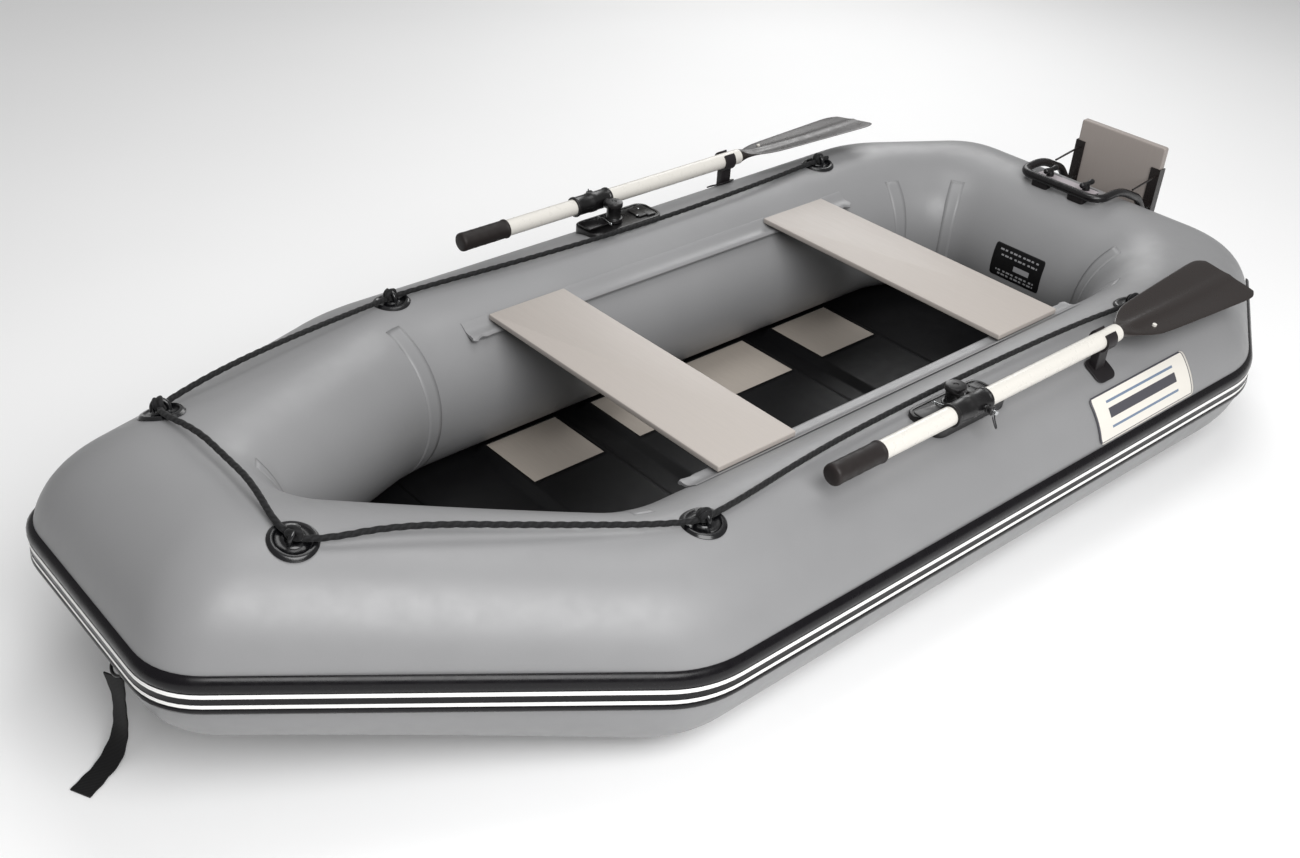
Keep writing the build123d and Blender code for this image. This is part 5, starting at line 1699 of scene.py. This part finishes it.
@dataclass
class TowPoint:
    """The ring under the bow and the webbing strap that hangs from it to the ground."""

    angle: float = -40.0
    loop_radius: float = 21.0 * MM
    rod_radius: float = 3.0 * MM
    width: float = 38.0 * MM
    thick: float = 2.6 * MM
    twist: float = 14.0
    waist: float = 0.12
    patch: Profile = ((0, 3.2), (22, 3.2), (25, 3.8), (29, 3.6), (33, 1.6), (34, 0.4), (34, 0), (0, 0))
    weave: Profile = (
        (-0.5, -0.5), (-0.5, 0.5), (-0.44, 0.62), (-0.38, 0.5), (0, 0.55), (0.38, 0.5), (0.44, 0.62),
        (0.5, 0.5), (0.5, -0.5), (0.38, -0.5), (0, -0.5), (-0.38, -0.5),
    )
    route: tuple[Triple, ...] = (
        (1.3391, 0.0, 0.1593), (1.3364, -0.0014, 0.118), (1.3391, 0.0, 0.078), (1.3462, 0.0036, 0.037),
        (1.3721, 0.0168, 0.007), (1.4086, 0.0354, 0.0022), (1.4425, 0.0527, 0.0024),
    )

    def ring(self) -> None:
        """The patch and its ring."""
        a = math.radians(self.angle)
        normal = Vector((math.cos(a), 0, math.sin(a)))
        axis = RING.corner(0).copy()
        axis.y = 0
        seat = frame_at(axis + normal * RING.radius, normal, Y_AXIS)
        disc = turned(self.patch, 40)
        for vertex in disc.verts:
            vertex.co.z -= vertex.co.y**2 / (2 * RING.radius)
        points = arch(self.loop_radius, self.loop_radius * 0.85, 2 * MM, 20)
        loop = rod([Vector((x, 0, z)) for x, z in points], self.rod_radius, 14, Y_AXIS)
        ring = together(moved(disc, seat), moved(loop, seat))
        publish(ring, "tow_ring_moulded", "hull", [EYELET_BLACK], ["tow_ring"])

    def strap(self) -> None:
        """The strap: flat webbing that turns as it hangs and lies flat on the ground."""
        line = route_points(self.route, 14)
        run = lengths_along(line)
        total = run[-1]
        ahead = (Vector(self.route[-1]) - Vector(self.route[-2])).normalized()
        level = Vector((-ahead.y, ahead.x, 0)).normalized()
        frames = carried_frames(line, level)
        sides = len(self.weave)

        def place(row: int, column: int) -> Vector:
            here, side, other = frames[row]
            share = run[row] / total
            turn = math.radians(self.twist) * math.sin(math.pi * min(1.0, share / 0.7)) * (share < 0.7)
            narrow = 1 - self.waist * math.sin(math.pi * min(1.0, share / 0.55)) ** 2 * (share < 0.55)
            narrow *= 1 + 0.035 * math.sin(run[row] / 0.011) + 0.03 * math.sin(run[row] / 0.0047 + 1.0)
            w, t = self.weave[column % sides]
            wide = side * math.cos(turn) + other * math.sin(turn)
            deep = other * math.cos(turn) - side * math.sin(turn)
            return here + wide * (w * self.width * narrow) + deep * (t * self.thick)

        def measure(row: int, column: int) -> tuple[float, float]:
            return run[row], self.weave[column % sides][0] * self.width

        bm = capped(lay_grid(len(line) - 1, sides, place, measure, (False, True)))
        strap = publish(bm, "tow_strap_webbing", "hull", [WEB_BLACK], ["tow_strap"], 45)
        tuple(self.route[0])
        [tuple(p) for p in line]

    def build(self) -> None:
        """Builds the tow point."""
        self.ring()
        self.strap()


@dataclass
class Studio:
    """The camera at the product's viewing angle, soft lights and a pale floor."""

    place: Triple = (1.9043, 1.7923, 1.8023)
    yaw: float = -130.948
    pitch: float = -33.341
    roll: float = 2.575
    lens: float = 40.6
    shift: tuple[float, float] = (0.0441, 0.0014)
    surround: float = 0.36
    lamps: tuple[tuple[str, Triple, Triple, float, float], ...] = (
        ("key", (1.1, 2.9, 3.1), (0.1, 0.1, 0.2), 3.0, 165.0),
        ("overhead", (-0.6, -0.2, 3.9), (-0.3, 0.0, 0.2), 2.2, 40.0),
        ("rim", (-2.8, -2.2, 2.0), (-0.4, 0.0, 0.2), 1.8, 26.0),
    )

    def camera(self) -> None:
        """Sets the scene's camera."""
        yaw, pitch, roll = [math.radians(v) for v in (self.yaw, self.pitch, self.roll)]
        ahead = Vector((math.cos(yaw) * math.cos(pitch), math.sin(yaw) * math.cos(pitch), math.sin(pitch)))
        right = ahead.cross(Z_AXIS).normalized()
        up = right.cross(ahead)
        rolled_right = right * math.cos(roll) + up * math.sin(roll)
        rolled_up = up * math.cos(roll) - right * math.sin(roll)
        data = bpy.data.cameras.new("camera")
        data.lens = self.lens
        data.sensor_width = 36.0
        data.shift_x, data.shift_y = self.shift
        camera = bpy.data.objects.new("camera", data)
        turn = Matrix((rolled_right, rolled_up, -ahead)).transposed().to_4x4()
        camera.matrix_world = Matrix.Translation(self.place) @ turn
        bpy.context.scene.collection.objects.link(camera)
        bpy.context.scene.camera = camera

    def lights(self) -> None:
        """Adds the soft boxes and the pale surround."""
        for name, place, aim, size, power in self.lamps:
            data = bpy.data.lights.new(name, "AREA")
            data.shape = "DISK"
            data.size = size
            data.energy = power
            lamp = bpy.data.objects.new(name, data)
            way = Vector(aim) - Vector(place)
            turn = way.to_track_quat("-Z", "Y").to_matrix().to_4x4()
            lamp.matrix_world = Matrix.Translation(place) @ turn
            bpy.context.scene.collection.objects.link(lamp)
        world = bpy.data.worlds.new("surround")
        world.use_nodes = True
        sky = next(n for n in world.node_tree.nodes if n.type == "BACKGROUND")
        sky.inputs["Color"].default_value = srgb("FFFFFF")
        sky.inputs["Strength"].default_value = self.surround
        bpy.context.scene.world = world
        bpy.context.scene.view_settings.view_transform = "Standard"

    def floor(self) -> None:
        """Adds the floor."""
        bm = bmesh.new()
        bmesh.ops.create_grid(bm, x_segments=8, y_segments=8, size=30.0)
        mesh = bpy.data.meshes.new("studio_floor")
        bm.to_mesh(mesh)
        bm.free()
        mesh.materials.append(finish_of(FLOOR_STAGE))
        ground = bpy.data.objects.new("studio_floor", mesh)
        bpy.context.scene.collection.objects.link(ground)

    def build(self) -> None:
        """Builds the studio."""
        self.camera()
        self.lights()
        self.floor()


def main() -> None:
    """Builds every sub-assembly in order."""
    logging.basicConfig(level=logging.INFO, format="%(name)s: %(message)s")
    assemblies = [Studio(), TowPoint(), GrabLine(), Hull(), Floor(), Seats()]
    assemblies += [part(side) for side in Side for part in (Oarlock, Oar)]
    assemblies += [Bracket(), Valves(), Labels()]
    for assembly in assemblies:
        assembly.build()
    dress("oarlock_pins", STEEL)


if __name__ == "__main__":
    main()
